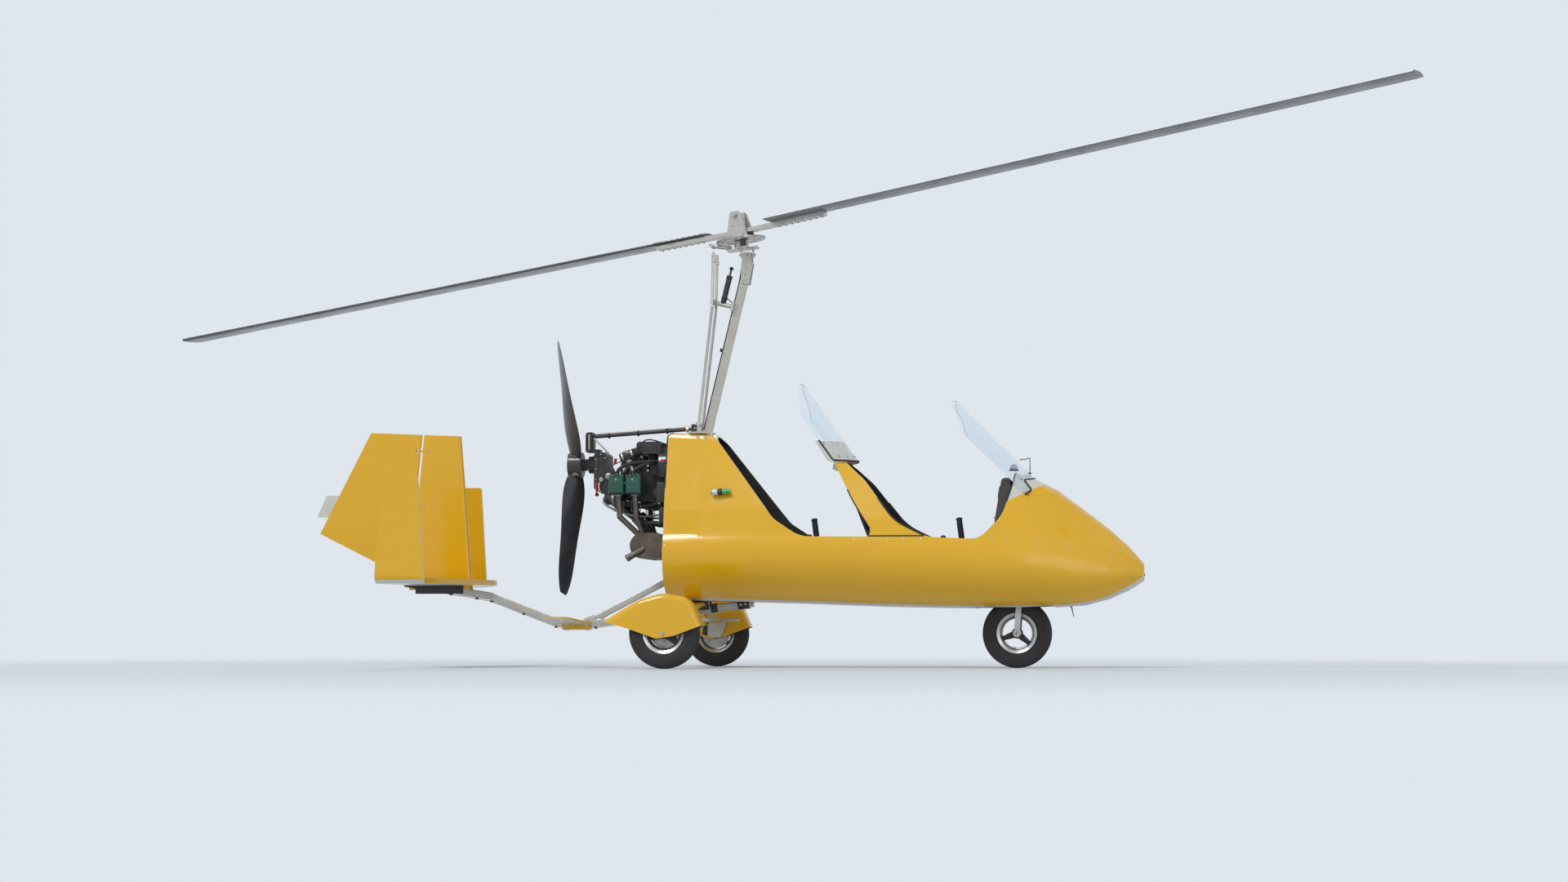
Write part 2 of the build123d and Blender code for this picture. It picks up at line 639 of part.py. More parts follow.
top_trim = side_prism(((-1500, 1398, 0), (-2700, 1456, 0), (-2700, 1700, 0), (-1500, 1700, 0)), -100, 100)
fin = loft([foil(-1640, hinge_x(470) + 32, 46, 44, 470), foil(-1726, hinge_x(1480) + 26, 34, 32, 1480)])
fin = fin - top_trim
tube_room = bent_beam(KEEL[2:], KEEL_SIDE + 0.6)
fin = (fin - tube_room).solids().sort_by(SortBy.VOLUME)[-1]
stabiliser = stabiliser - fin - tube_room
rudder = loft([foil(hinge_x(470) + 14, -2790, 28, 6, 470), foil(hinge_x(1480) + 10, -2270, 20, 6, 1480)])
rudder = rudder - top_trim
FOOT_TRIM = ((-2076, 552, 0), (-2900, 960, 0), (-2900, 300, 0), (-1900, 300, 0), (-1900, 552, 0))
rudder = rudder - side_prism(FOOT_TRIM, -100, 100)
hinge_dir = Vector(HINGE_HIGH[0] - HINGE_LOW[0], 0, HINGE_HIGH[1] - HINGE_LOW[1]).normalized()
for z in (640, 980, 1320):
    place = Vector(hinge_x(z), 0, z)
    low, high = place - hinge_dir * 7, place + hinge_dir * 7
    lug = rod(tuple(low), tuple(high), 13) + block((52, 16, 14), (hinge_x(z) + 30, 0, z))
    slot = rod(tuple(place - hinge_dir * 14), tuple(place + hinge_dir * 14), 20)
    slot += block((70, 60, 28), (hinge_x(z) + 34, 0, z))
    rudder -= slot
    rudder += rod(tuple(place - hinge_dir * 26), tuple(place + hinge_dir * 26), 5)
    fin += lug - rod(tuple(place - hinge_dir * 26), tuple(place + hinge_dir * 26), 5.3)
save("stabiliser", stabiliser)
save("fin", fin)
save("rudder", rudder)
trim_tab = side_prism(((-2573, 1052, 0), (-2480, 1052, 0), (-2540, 918, 0), (-2631, 918, 0)), -1.3, 1.3)
save("trim_tab", (trim_tab - rudder).solids().sort_by(Axis.X)[0])

# Small winglets at the keel's bend, on a saddle clamped round the tube
WINGLET = (
    (24, 264, ((-893, -8, 7), (-893, 8, 7), (-1085, 8, 7), (-1085, -8, 7))),
    (305, 298, ((-980, -5, 4), (-980, 5, 4), (-1106, 5, 4), (-1106, -5, 4))),
)
winglet = loft([
    Plane(origin=(0, y, z), z_dir=(0, 1, 0), x_dir=(1, 0, 0)) * make_face(outline(corners))
    for y, z, corners in WINGLET
], ruled=True)
keel_winglets = winglet + mirrored(winglet) + block((170, 76, 46), (-988, 0, 250)) - keel
save("keel_winglets", keel_winglets)

# Propeller: hub along X and three twisted blades. Columns: radius, chord, thickness, angle to the disc
PROP_X = -994
PROP_Z = 1226
PROP_STATIONS = (
    (60, 84, 44, 58),
    (230, 150, 26, 48),
    (560, 132, 16, 34),
    (800, 100, 9, 27),
    (860, 60, 6, 24),
)


def lens(chord, thick, angle, plane):
    """Lens-shaped blade section of two arcs, turned about the blade's length."""
    wire = Wire([
        ThreePointArc((-chord / 2, 0), (0, thick * 0.6), (chord / 2, 0)).edge(),
        ThreePointArc((chord / 2, 0), (0, -thick * 0.4), (-chord / 2, 0)).edge(),
    ])
    return plane * (Rot(0, 0, angle) * make_face(wire))


propeller = rod((PROP_X - 42, 0, PROP_Z), (PROP_X + 30, 0, PROP_Z), 76)
prop_blade = loft([
    lens(chord, thick, angle, Plane(origin=(PROP_X, 0, PROP_Z + radius), x_dir=(0, 1, 0), z_dir=(0, 0, 1)))
    for radius, chord, thick, angle in PROP_STATIONS
])
for turn in (36, 156, 276):
    propeller += prop_blade.rotate(Axis((PROP_X, 0, PROP_Z), (1, 0, 0)), turn)
propeller -= rod((PROP_X - 60, 0, PROP_Z), (PROP_X + 60, 0, PROP_Z), 15.4)
save("propeller", propeller)

# Engine: flat four with the gearbox towards the propeller
CRANKCASE = ((-800, 1050, 10), (-690, 1010, 20), (-425, 990, 15), (-425, 1175, 20), (-800, 1180, 20))
GEARBOX = ((-868, 1076, 20), (-790, 1030, 20), (-790, 1290, 25), (-868, 1310, 30))
engine = side_prism(CRANKCASE, -118, 118)
engine += side_prism(GEARBOX, -95, 95)
engine += rod((-915, 0, PROP_Z), (-860, 0, PROP_Z), 52)
engine += rod((-1050, 0, PROP_Z), (-900, 0, PROP_Z), 15)
engine += rod((-958, 0, PROP_Z), (-915, 0, PROP_Z), 36)
for x in (-687, -586):
    for sign in (-1, 1):
        engine += block((80, 130, 84), (x, sign * 175, 1088))
        engine += block((94, 46, 112), (x, sign * 258, 1090))
        for step in range(6):
            engine += block((94, 4, 104), (x, sign * (140 + 17 * step), 1089))
engine_block = engine
for side, sign in (("right", -1), ("left", 1)):
    cover = None
    for x in (-687, -586):
        one = block((90, 26, 106), (x, sign * 294.3, 1091))
        one = chamfer(one.edges().filter_by(GeomType.LINE).group_by(Axis.Y)[0 if sign < 0 else -1], 9)
        cover = one if cover is None else cover + one
    cover += block((30, 10, 12), (-636, sign * 290, 1100))
    save(f"rocker_covers_{side}", cover)
save("engine_block", engine_block)

# Intake: the plenum above the engine and the pipe it stands on
intake = block((150, 300, 74), (-520, 0, 1318))
intake = fillet(intake.edges().filter_by(Axis.Y), 20)
intake += rod((-520, 0, 1300), (-520, 0, 1170), 30)
intake -= engine_block
save("intake", intake)

# Exhaust: four pipes into a silencer under the engine
exhaust = block((66, 380, 150), (-515, 0, 728))
for x in (-548, -482):
    exhaust += rod((x, -190, 728), (x, 190, 728), 75)
for sign in (-1, 1):
    for x in (-687, -586):
        exhaust += rod((x, sign * 230, 1036), (x + 6, sign * 215, 900), 17)
        exhaust += rod((x + 6, sign * 215, 900), (-530, sign * 150, 750), 17)
        exhaust += Pos(x + 6, sign * 215, 900) * Sphere(17)
exhaust += rod((-540, -180, 710), (-640, -215, 650), 20, 17)
exhaust -= engine_block
exhaust = exhaust.solids().sort_by(SortBy.VOLUME)[-1]
save("exhaust", exhaust)

# Radiator slung under the engine at a slant, and the frame that carries the engine
radiator = block((158, 153, 38), (-690, 0, 951), (0, 35, 0)) - engine_block
save("radiator", radiator)
frame = None
for sign in (-1, 1):
    for start, end in (
        ((-351, sign * 90, 1230), (-560, sign * 90, 976)),
        ((-351, sign * 90, 976), (-700, sign * 90, 976)),
        ((-351, sign * 90, 640), (-700, sign * 90, 976)),
    ):
        run = rod(start, end, 14)
        frame = run if frame is None else frame + run
frame += rod((-460, -104, 976), (-460, 104, 976), 14)
frame += rod((-357, -104, 640), (-357, 104, 640), 14)
frame += rod((-420, 0, 560), (-357, 0, 640), 18)
engine_frame = frame - engine_block - exhaust - radiator
engine_frame = engine_frame.solids().sort_by(SortBy.VOLUME)[-1]
engine_frame = engine_frame - firewall - keel
engine_frame = engine_frame.solids().sort_by(SortBy.VOLUME)[-1]
save("engine_frame", engine_frame)

# Pre-rotator drive: belt guard above the gearbox and the shaft forward to the mast
BELT_GUARD = ((-936, 1300, 14), (-884, 1300, 14), (-884, 1424, 16), (-936, 1424, 16))
prerotator = side_prism(BELT_GUARD, -26, 26)
prerotator += block((70, 60, 20), (-880, 0, 1309))
prerotator += rod((-884, 0, 1398), (-250, 0, COVER_Z + 34), 11)
prerotator += block((44, 44, 48), (-262, 0, COVER_Z + 36))
prerotator = prerotator - engine_block - mast - outer
prerotator = prerotator.solids().sort_by(SortBy.VOLUME)[-1]
save("prerotator_drive", prerotator)

# Rotor frame: origin at the teeter bolt, tilted aft, X along the forward blade
TILT = math.radians(6.2)
TURN = math.radians(-17.6)
up = Vector(-math.sin(TILT), 0, math.cos(TILT))
ahead = Vector(math.cos(TURN), math.sin(TURN), math.cos(TURN) * math.tan(TILT)).normalized()
rotor = Plane(origin=(0, 0, TEETER_Z), x_dir=ahead, z_dir=up)
CONE = 0.6
BAR_DROP = 100
GEAR_DROP = 147
REST = Rot(0, -1.3, 0)

bar = None
for turn in (0, 180):
    half_bar = Rot(0, 0, turn) * Rot(0, -CONE, 0) * Pos(280, 0, 0) * Box(580, 72, 24)
    bar = half_bar if bar is None else bar + half_bar
bar = REST * Pos(0, 0, -BAR_DROP) * bar
bar += REST * Pos(0, 0, -45) * Box(56, 68, 96)
bar += Rot(90, 0, 0) * Cylinder(27, 68)
bar -= Rot(90, 0, 0) * Cylinder(9.4, 90)
save("hub_bar", rotor * bar)

BLADE_IN = 230
BLADE_OUT = 4200
section = Wire([
    ThreePointArc((44, -6), (50, 2), (44, 9)).edge(),
    ThreePointArc((44, 9), (-25, 17), (-150, 1.5)).edge(),
    Line((-150, 1.5), (-150, -1.5)).edge(),
    ThreePointArc((-150, -1.5), (-60, -8), (44, -6)).edge(),
])
root = Plane(origin=(BLADE_IN, 0, 21), x_dir=(0, 1, 0), z_dir=(1, 0, 0))
blade = extrude(root * make_face(section), amount=BLADE_OUT - BLADE_IN)
blade += Pos((BLADE_IN + 570) / 2, 0, 12 + 5) * Box(570 - BLADE_IN, 72, 10)
for name, turn in (("fore", 0), ("aft", 180)):
    placed = REST * Pos(0, 0, -BAR_DROP) * Rot(0, 0, turn) * Rot(0, -CONE, 0) * blade
    save(f"rotor_blade_{name}", rotor * (placed - bar))

hub = Pos(0, 0, -GEAR_DROP + 12) * Cylinder(55, 14) + Pos(0, 0, -GEAR_DROP) * Cylinder(145, 10)
for index in range(8):
    turn = math.radians(index * 45 + 22.5)
    hub -= Pos(98 * math.cos(turn), 98 * math.sin(turn), -GEAR_DROP) * Cylinder(24, 20)
tower_plane = Plane(origin=(0, 0, 0), x_dir=(1, 0, 0), z_dir=(0, -1, 0))
TOWER = ((-76, -GEAR_DROP + 2, 0), (76, -GEAR_DROP + 2, 0), (30, 26, 18), (-30, 26, 18))
tower_face = make_face(outline(TOWER))
for low in (42, -52):
    hub += Pos(0, low + 10, 0) * extrude(tower_plane * tower_face, amount=10)
hub += Rot(90, 0, 0) * Cylinder(9, 124)
hub += Pos(0, 0, -GEAR_DROP - 30) * Cylinder(14, 60)
save("rotor_hub", rotor * hub)

# Head bridge: bearing housing on a plate, lugs for the roll pin, and the arm that the rods reach
bearing = Pos(0, 0, -GEAR_DROP - 34) * (Cylinder(44, 44) - Cylinder(14.4, 60))
bridge = rotor * bearing
bridge += block((190, 74, 12), (PIVOT[0] - 26, 0, PIVOT[2] + 35), (0, -6.2, 0))
for x in (PIVOT[0] - 37, PIVOT[0] + 37):
    bridge += block((10, 26, 56), (x, 0, PIVOT[2] + 9), (0, -6.2, 0))
bridge += rod((PIVOT[0] - 96, 0, PIVOT[2] + 43), (PIVOT[0] - 221, 0, PIVOT[2] + 60), 13)
bridge += rod((PIVOT[0] - 216, -54, PIVOT[2] + 59), (PIVOT[0] - 216, 54, PIVOT[2] + 59), 10)
bridge -= rod((PIVOT[0] - 60, 0, PIVOT[2]), (PIVOT[0] + 60, 0, PIVOT[2]), 6.2)
gimbal = block((50, 40, 30), PIVOT)
gimbal += rod((PIVOT[0] - 44, 0, PIVOT[2]), (PIVOT[0] + 44, 0, PIVOT[2]), 6)
gimbal += rod((PIVOT[0], -40, PIVOT[2]), (PIVOT[0], 40, PIVOT[2]), 6)
save("gimbal_block", gimbal)
save("head_bridge", bridge - hub.moved(rotor.location))
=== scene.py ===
"""Open two-seat gyrocopter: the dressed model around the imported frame."""

import json
import math

import bmesh
import bpy
from mathutils import Matrix, Vector
from mathutils.bvhtree import BVHTree


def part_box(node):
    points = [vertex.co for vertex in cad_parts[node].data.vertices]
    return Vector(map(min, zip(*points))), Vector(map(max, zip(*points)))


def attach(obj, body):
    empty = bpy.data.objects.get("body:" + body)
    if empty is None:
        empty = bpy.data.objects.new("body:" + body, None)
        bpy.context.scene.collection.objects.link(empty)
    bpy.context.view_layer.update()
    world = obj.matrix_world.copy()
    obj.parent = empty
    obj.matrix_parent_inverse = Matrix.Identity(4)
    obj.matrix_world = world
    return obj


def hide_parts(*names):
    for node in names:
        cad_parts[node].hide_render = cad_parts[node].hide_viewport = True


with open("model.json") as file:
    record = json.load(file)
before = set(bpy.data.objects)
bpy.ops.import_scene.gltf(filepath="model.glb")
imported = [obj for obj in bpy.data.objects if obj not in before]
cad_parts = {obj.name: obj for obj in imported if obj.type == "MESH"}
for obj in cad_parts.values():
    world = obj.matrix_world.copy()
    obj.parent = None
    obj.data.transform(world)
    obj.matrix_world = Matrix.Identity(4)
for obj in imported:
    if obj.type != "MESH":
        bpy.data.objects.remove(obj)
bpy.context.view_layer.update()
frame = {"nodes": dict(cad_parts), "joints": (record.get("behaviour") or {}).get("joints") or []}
nodes = frame["nodes"]
scene = bpy.context.scene

# Photographer's place: a camera that lies on the apron on the starboard side, a little towards the nose.
# The wheels stand on a plain pale floor that runs into a backdrop of the same tone, under a soft high sun.
camera_data = bpy.data.cameras.new("camera")
camera_data.sensor_width = 36
camera_data.lens = 65
camera = bpy.data.objects.new("camera", camera_data)
scene.collection.objects.link(camera)
SIGHT_AZIMUTH = math.radians(8.8)
SIGHT_DISTANCE = 17.0
aim = Vector((0.28, 0.0, 1.36))
camera.location = (
    aim.x + SIGHT_DISTANCE * math.sin(SIGHT_AZIMUTH),
    aim.y - SIGHT_DISTANCE * math.cos(SIGHT_AZIMUTH),
    0.16,
)
camera.rotation_euler = (aim - camera.location).to_track_quat("-Z", "Y").to_euler()
scene.camera = camera
scene.view_settings.view_transform = "Standard"

BACKDROP = (0.74, 0.79, 0.84)


def node_in(tree, kind, inputs=(), **fields):
    """New shader node: its fields are set, and each input takes a value or a link from a socket."""
    node = tree.nodes.new(f"ShaderNode{kind}")
    for field, value in fields.items():
        setattr(node, field, value)
    for place, value in dict(inputs).items():
        if isinstance(value, bpy.types.NodeSocket):
            tree.links.new(value, node.inputs[place])
        else:
            node.inputs[place].default_value = value
    return node


def seen_plain(tree, shader, colour):
    """Shows the colour itself to the camera and in reflections, and the given shader to everything else."""
    rays = node_in(tree, "LightPath").outputs
    bounced = {0: rays["Is Glossy Ray"], 1: rays["Is Transmission Ray"]}
    either = node_in(tree, "Math", bounced, operation="MAXIMUM").outputs[0]
    share = node_in(tree, "Math", {0: rays["Is Camera Ray"], 1: either}, operation="MAXIMUM")
    plain = node_in(tree, "Background", {"Color": (*colour, 1)})
    return node_in(tree, "MixShader", {0: share.outputs[0], 1: shader.outputs[0], 2: plain.outputs[0]})


world = bpy.data.worlds.new("studio")
world.use_nodes = True
scene.world = world
sky = world.node_tree.nodes["Background"]
sky.inputs["Color"].default_value = (0.90, 0.95, 1.0, 1)
sky.inputs["Strength"].default_value = 0.5
shown = seen_plain(world.node_tree, sky, BACKDROP)
world.node_tree.links.new(shown.outputs[0], world.node_tree.nodes["World Output"].inputs["Surface"])

floor_bm = bmesh.new()
bmesh.ops.create_grid(floor_bm, x_segments=1, y_segments=1, size=400)
floor_mesh = bpy.data.meshes.new("floor")
floor_bm.to_mesh(floor_mesh)
floor_bm.free()
floor = bpy.data.objects.new("floor", floor_mesh)
scene.collection.objects.link(floor)
floor_finish = bpy.data.materials.new("pale floor")
floor_finish.use_nodes = True
tree = floor_finish.node_tree
matt = tree.nodes["Principled BSDF"]
matt.inputs["Base Color"].default_value = (0.62, 0.66, 0.70, 1)
matt.inputs["Roughness"].default_value = 0.9
spot = node_in(tree, "TexCoord").outputs["Object"]
away = node_in(tree, "VectorMath", {0: spot}, operation="LENGTH").outputs["Value"]
reach = {"From Min": 3.5, "From Max": 11.0, "Value": away}
fade = node_in(tree, "MapRange", reach, interpolation_type="SMOOTHSTEP").outputs["Result"]
glow = node_in(tree, "Emission", {"Color": (*BACKDROP, 1)})
run_out = node_in(tree, "MixShader", {0: fade, 1: matt.outputs[0], 2: glow.outputs[0]})
tree.links.new(run_out.outputs[0], tree.nodes["Material Output"].inputs["Surface"])
floor_mesh.materials.append(floor_finish)

LIGHTS = (
    ("high soft sun", (-5.0, -8.0, 11.0), 1.5, 16),
    ("low front fill", (9.0, -12.0, 4.0), 0.35, 40),
    ("back rim", (-4.0, 11.0, 7.0), 0.5, 30),
)
for name, place, strength, spread in LIGHTS:
    light_data = bpy.data.lights.new(name, "SUN")
    light_data.energy = strength
    light_data.angle = math.radians(spread)
    light = bpy.data.objects.new(name, light_data)
    light.location = place
    light.rotation_euler = (-Vector(place)).to_track_quat("-Z", "Y").to_euler()
    scene.collection.objects.link(light)

# Gelcoat skins: yellow over glass fibre, polished but a few seasons old, with an off-white belly.
# The inside of the tub is bare dark grey resin, and every cut edge is black.


def group_of_tones():
    """Slow patches and fine speckle that break up a plain colour: a mask for each."""
    tree = bpy.data.node_groups.new("aged tone", "ShaderNodeTree")
    sockets = (
        ("Vector", "INPUT", "Vector"),
        ("Patch Scale", "INPUT", "Float"),
        ("Speckle Scale", "INPUT", "Float"),
        ("Patches", "OUTPUT", "Float"),
        ("Speckle", "OUTPUT", "Float"),
    )
    for name, way, kind in sockets:
        tree.interface.new_socket(name, in_out=way, socket_type=f"NodeSocket{kind}")
    inside = tree.nodes.new("NodeGroupInput").outputs
    outside = tree.nodes.new("NodeGroupOutput").inputs
    rows = (("Patch Scale", 5, 0.42, 0.68), ("Speckle Scale", 3, 0.5, 0.72))
    for index, (scale, detail, low, high) in enumerate(rows):
        grain = {"Detail": detail, "Roughness": 0.62, "Vector": inside["Vector"], "Scale": inside[scale]}
        noise = node_in(tree, "TexNoise", grain).outputs["Fac"]
        spread = node_in(tree, "MapRange", {"From Min": low, "From Max": high, "Value": noise})
        tree.links.new(spread.outputs["Result"], outside[index])
    return tree


aged_tone = group_of_tones()


def mixed(tree, mask, first, second, amount=1.0):
    """Colour that runs from first to second by the mask; either may be a colour or a socket."""
    ends = [value if isinstance(value, bpy.types.NodeSocket) else (*value, 1) for value in (first, second)]
    strength = node_in(tree, "Math", {0: mask, 1: amount}, operation="MULTIPLY").outputs[0]
    return node_in(tree, "Mix", {"Factor": strength, 6: ends[0], 7: ends[1]}, data_type="RGBA").outputs[2]


def bumped(tree, height, strength, distance):
    """Gives a material's main shader a relief."""
    relief = node_in(tree, "Bump", {"Strength": strength, "Distance": distance, "Height": height})
    tree.links.new(relief.outputs["Normal"], tree.nodes["Principled BSDF"].inputs["Normal"])


def finish(name, colour, rough, worn, metal=0.0, patch=3.0, amount=0.3, coat=0.0, bump=0.0, grain=300.0):
    """Material of one finish: its colour with aged patches and speckle, and a fine skin of bumps."""
    material = bpy.data.materials.new(name)
    material.use_nodes = True
    tree = material.node_tree
    shader = tree.nodes["Principled BSDF"]
    shader.inputs["Metallic"].default_value = metal
    if coat:
        shader.inputs["Coat Weight"].default_value = coat
        shader.inputs["Coat Roughness"].default_value = 0.04
    place = node_in(tree, "TexCoord").outputs["Object"]
    scales = {"Patch Scale": patch, "Speckle Scale": patch * 28, "Vector": place}
    tones = node_in(tree, "Group", scales, node_tree=aged_tone).outputs
    first = mixed(tree, tones["Patches"], colour, worn, amount)
    second = mixed(tree, tones["Speckle"], first, worn, amount * 0.5)
    tree.links.new(second, shader.inputs["Base Color"])
    range_of = {"To Min": rough, "To Max": min(rough + 0.14, 1.0), "Value": tones["Patches"]}
    roughness = node_in(tree, "MapRange", range_of)
    tree.links.new(roughness.outputs["Result"], shader.inputs["Roughness"])
    if bump:
        noise = node_in(tree, "TexNoise", {"Scale": grain, "Detail": 4, "Vector": place})
        bumped(tree, noise.outputs["Fac"], bump, 0.001)
    return material


YELLOW = (0.74, 0.41, 0.006)
YELLOW_WORN = (0.60, 0.30, 0.005)
OFF_WHITE = (0.62, 0.60, 0.55)
yellow = finish(
    "yellow gelcoat", YELLOW, 0.2, YELLOW_WORN, patch=2.2, amount=0.16, coat=0.25, bump=0.02, grain=120,
)
pale_gelcoat = finish("pale gelcoat", OFF_WHITE, 0.3, (0.46, 0.43, 0.37), patch=5, amount=0.4, coat=0.3)
tub_inside = finish(
    "tub inside", (0.028, 0.029, 0.031), 0.62, (0.05, 0.048, 0.045), patch=7, amount=0.6, bump=0.25,
)
edge_rubber = finish(
    "edge rubber", (0.012, 0.012, 0.013), 0.55, (0.03, 0.029, 0.028), patch=9, amount=0.5, bump=0.1,
)


def two_toned(name, mask_of):
    """Yellow gelcoat that turns off-white where the mask says."""
    material = yellow.copy()
    material.name = name
    tree = material.node_tree
    spot = node_in(tree, "TexCoord").outputs
    shader = tree.nodes["Principled BSDF"]
    socket = shader.inputs["Base Color"].links[0].from_socket
    tree.links.new(mixed(tree, mask_of(tree, spot), socket, OFF_WHITE), shader.inputs["Base Color"])
    return material


# The belly's pale colour starts at the floor's edge and follows its curve up to the nose.
BELLY_LINE = (
    (-0.41, 0.400), (0.10, 0.392), (0.70, 0.370), (1.25, 0.354),
    (1.74, 0.352), (2.08, 0.372), (2.33, 0.462), (2.43, 0.540),
)


def below_the_line(tree, spot):
    """Mask: one under the belly line."""
    parts = node_in(tree, "SeparateXYZ", {"Vector": spot["Object"]}).outputs
    start, end = BELLY_LINE[0][0], BELLY_LINE[-1][0]
    along_hull = node_in(tree, "MapRange", {"From Min": start, "From Max": end, "Value": parts["X"]})
    line = node_in(tree, "FloatCurve", {"Value": along_hull.outputs["Result"]})
    points = line.mapping.curves[0].points
    for x, z in BELLY_LINE:
        share = (x - start) / (end - start)
        if share in (0.0, 1.0):
            points[0 if share == 0.0 else -1].location = (share, z)
        else:
            points.new(share, z)
    line.mapping.update()
    height = node_in(tree, "Math", {0: parts["Z"], 1: line.outputs["Value"]}, operation="SUBTRACT")
    below = node_in(tree, "MapRange", {"From Min": 0.016, "From Max": 0.013, "Value": height.outputs[0]})
    return below.outputs["Result"]


pale_belly = two_toned("yellow gelcoat with pale belly", below_the_line)


def coated(name, material, angle=30.0):
    """A carried-over node gets its finish; its loose triangles are welded and smooth up to an angle."""
    node = nodes[name]
    mesh = node.data
    mesh.materials.clear()
    mesh.materials.append(material)
    if "custom_normal" in mesh.attributes:
        mesh.attributes.remove(mesh.attributes["custom_normal"])
    mesh.polygons.foreach_set("use_smooth", [True] * len(mesh.polygons))
    weld = node.modifiers.new("weld", "WELD")
    weld.merge_threshold = 0.00002
    split = node.modifiers.new("sharp edges", "EDGE_SPLIT")
    split.split_angle = math.radians(angle)
    split.use_edge_sharp = False
    return node


NOSE_TIP = 2.25
WALL_FACING = 0.35


def lined(name, material, axis_z):
    """A shell node: finish outside, dark resin inside and black on its cut edges."""
    node = coated(name, material)
    node.data.materials.append(tub_inside)
    node.data.materials.append(edge_rubber)
    for face in node.data.polygons:
        if face.center.x > NOSE_TIP:
            continue
        away = Vector((0, face.center.y, face.center.z - axis_z)).normalized()
        facing = face.normal.dot(away)
        if facing < -WALL_FACING:
            face.material_index = 1
        elif abs(facing) < WALL_FACING:
            face.material_index = 2
    return node


SHELLS = (
    ("fuselage", pale_belly, 0.70), ("nose_cowl", yellow, 0.56), ("cockpit_arch", yellow, 0.74),
    ("side_panel_left", yellow, 0.75), ("side_panel_right", yellow, 0.75),
    ("windshield_fairing", pale_gelcoat, 0.8),
)
for name, material, axis_z in SHELLS:
    lined(name, material, axis_z)
coated("rear_screen_frame", pale_gelcoat)

# Seams and fasteners of the skins: countersunk screws along each seam, and a black U strip of rubber that is
# pushed over the cut edges of both cockpit openings.


def skin_of(*names):
    """Ray-casting tree of carried-over nodes."""
    corners = []
    faces = []
    for name in names:
        mesh = nodes[name].data
        offset = len(corners)
        corners += [vertex.co.copy() for vertex in mesh.vertices]
        faces += [[offset + index for index in polygon.vertices] for polygon in mesh.polygons]
    return BVHTree.FromPolygons(corners, faces)


def fit(name, bm, material, body, angle=35.0):
    """Turns a finished bmesh into one piece that rides on a body and takes the given material."""
    bmesh.ops.remove_doubles(bm, verts=bm.verts, dist=0.000005)
    bmesh.ops.recalc_face_normals(bm, faces=bm.faces)
    for face in bm.faces:
        face.smooth = True
    mesh = bpy.data.meshes.new(name)
    bm.to_mesh(mesh)
    bm.free()
    mesh.materials.append(material)
    mesh.set_sharp_from_angle(angle=math.radians(angle))
    piece = bpy.data.objects.new(name, mesh)
    scene.collection.objects.link(piece)
    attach(piece, body)
    return piece


def aimed(place, direction):
    """Frame at a place whose Z runs along a direction."""
    return Matrix.Translation(place) @ Vector(direction).to_track_quat("Z", "Y").to_matrix().to_4x4()


def lathe(bm, profile, place, direction, steps=24):
    """Turned form: rows of radius and height, spun about the line from a place along a direction."""
    turn = aimed(place, direction)
    ends = [bm.verts.new(turn @ Vector((radius, 0, height))) for radius, height in profile]
    edges = [bm.edges.new(pair) for pair in zip(ends, ends[1:])]
    bmesh.ops.spin(
        bm,
        geom=ends + edges,
        cent=turn.translation,
        axis=turn.to_3x3().col[2],
        angle=math.tau,
        steps=steps,
        use_merge=True,
    )


def smoothed(points, steps, closed=False):
    """Line that runs smoothly through the points, with some steps between each two."""
    line = [Vector(point) for point in points]
    count = len(line)
    path = []
    for index in range(count if closed else count - 1):
        before = line[index - 1] if closed or index else line[0] * 2 - line[1]
        here = line[index]
        after = line[(index + 1) % count]
        beyond = line[(index + 2) % count] if closed or index + 2 < count else after * 2 - here
        for step in range(steps):
            t = step / steps
            rise = (after - before) * t + (before * 2 - here * 5 + after * 4 - beyond) * t * t
            path.append(here + (rise + (here * 3 - before - after * 3 + beyond) * t**3) * 0.5)
    return path if closed else path + [line[-1]]


def walled(bm, pairs):
    """Faces between pairs of rings of corners."""
    for low, high in pairs:
        for corner in range(len(low)):
            following = (corner + 1) % len(low)
            bm.faces.new((low[corner], low[following], high[following], high[corner]))


def hose(bm, points, radius, sides=10, closed=False, smooth=4):
    """Round tube along a line that runs smoothly through the points."""
    line = smoothed(points, smooth, closed)
    rings = []
    up = Vector((0.13, 0.21, 1.0))
    for index, point in enumerate(line):
        if closed:
            ahead = line[(index + 1) % len(line)] - line[index - 1]
        else:
            ahead = line[min(index + 1, len(line) - 1)] - line[max(index - 1, 0)]
        ahead.normalize()
        up = (up - ahead * up.dot(ahead)).normalized()
        across = ahead.cross(up)
        turns = [math.tau * corner / sides for corner in range(sides)]
        rings.append(
            [bm.verts.new(point + (up * math.cos(a) + across * math.sin(a)) * radius) for a in turns]
        )
    pairs = list(zip(rings, rings[1:]))
    if closed:
        last = rings[-1]
        nearest = min(range(sides), key=lambda shift: (rings[0][shift].co - last[0].co).length)
        pairs.append((last, rings[0][nearest:] + rings[0][:nearest]))
    walled(bm, pairs)
    if not closed:
        bm.faces.new(rings[0])
        bm.faces.new(rings[-1])


def screw(bm, place, direction, radius=0.0045):
    """Countersunk screw head with a recess, almost flush."""
    rows = ((0.34, -0.0012), (0.42, 0.0005), (0.86, 0.0007), (1, 0.0001), (1, -0.0012))
    profile = [(radius * share, height) for share, height in rows]
    lathe(bm, profile, place, direction, 14)
    lathe(bm, ((0, -0.0011), (radius * 0.4, -0.0011)), place, direction, 6)


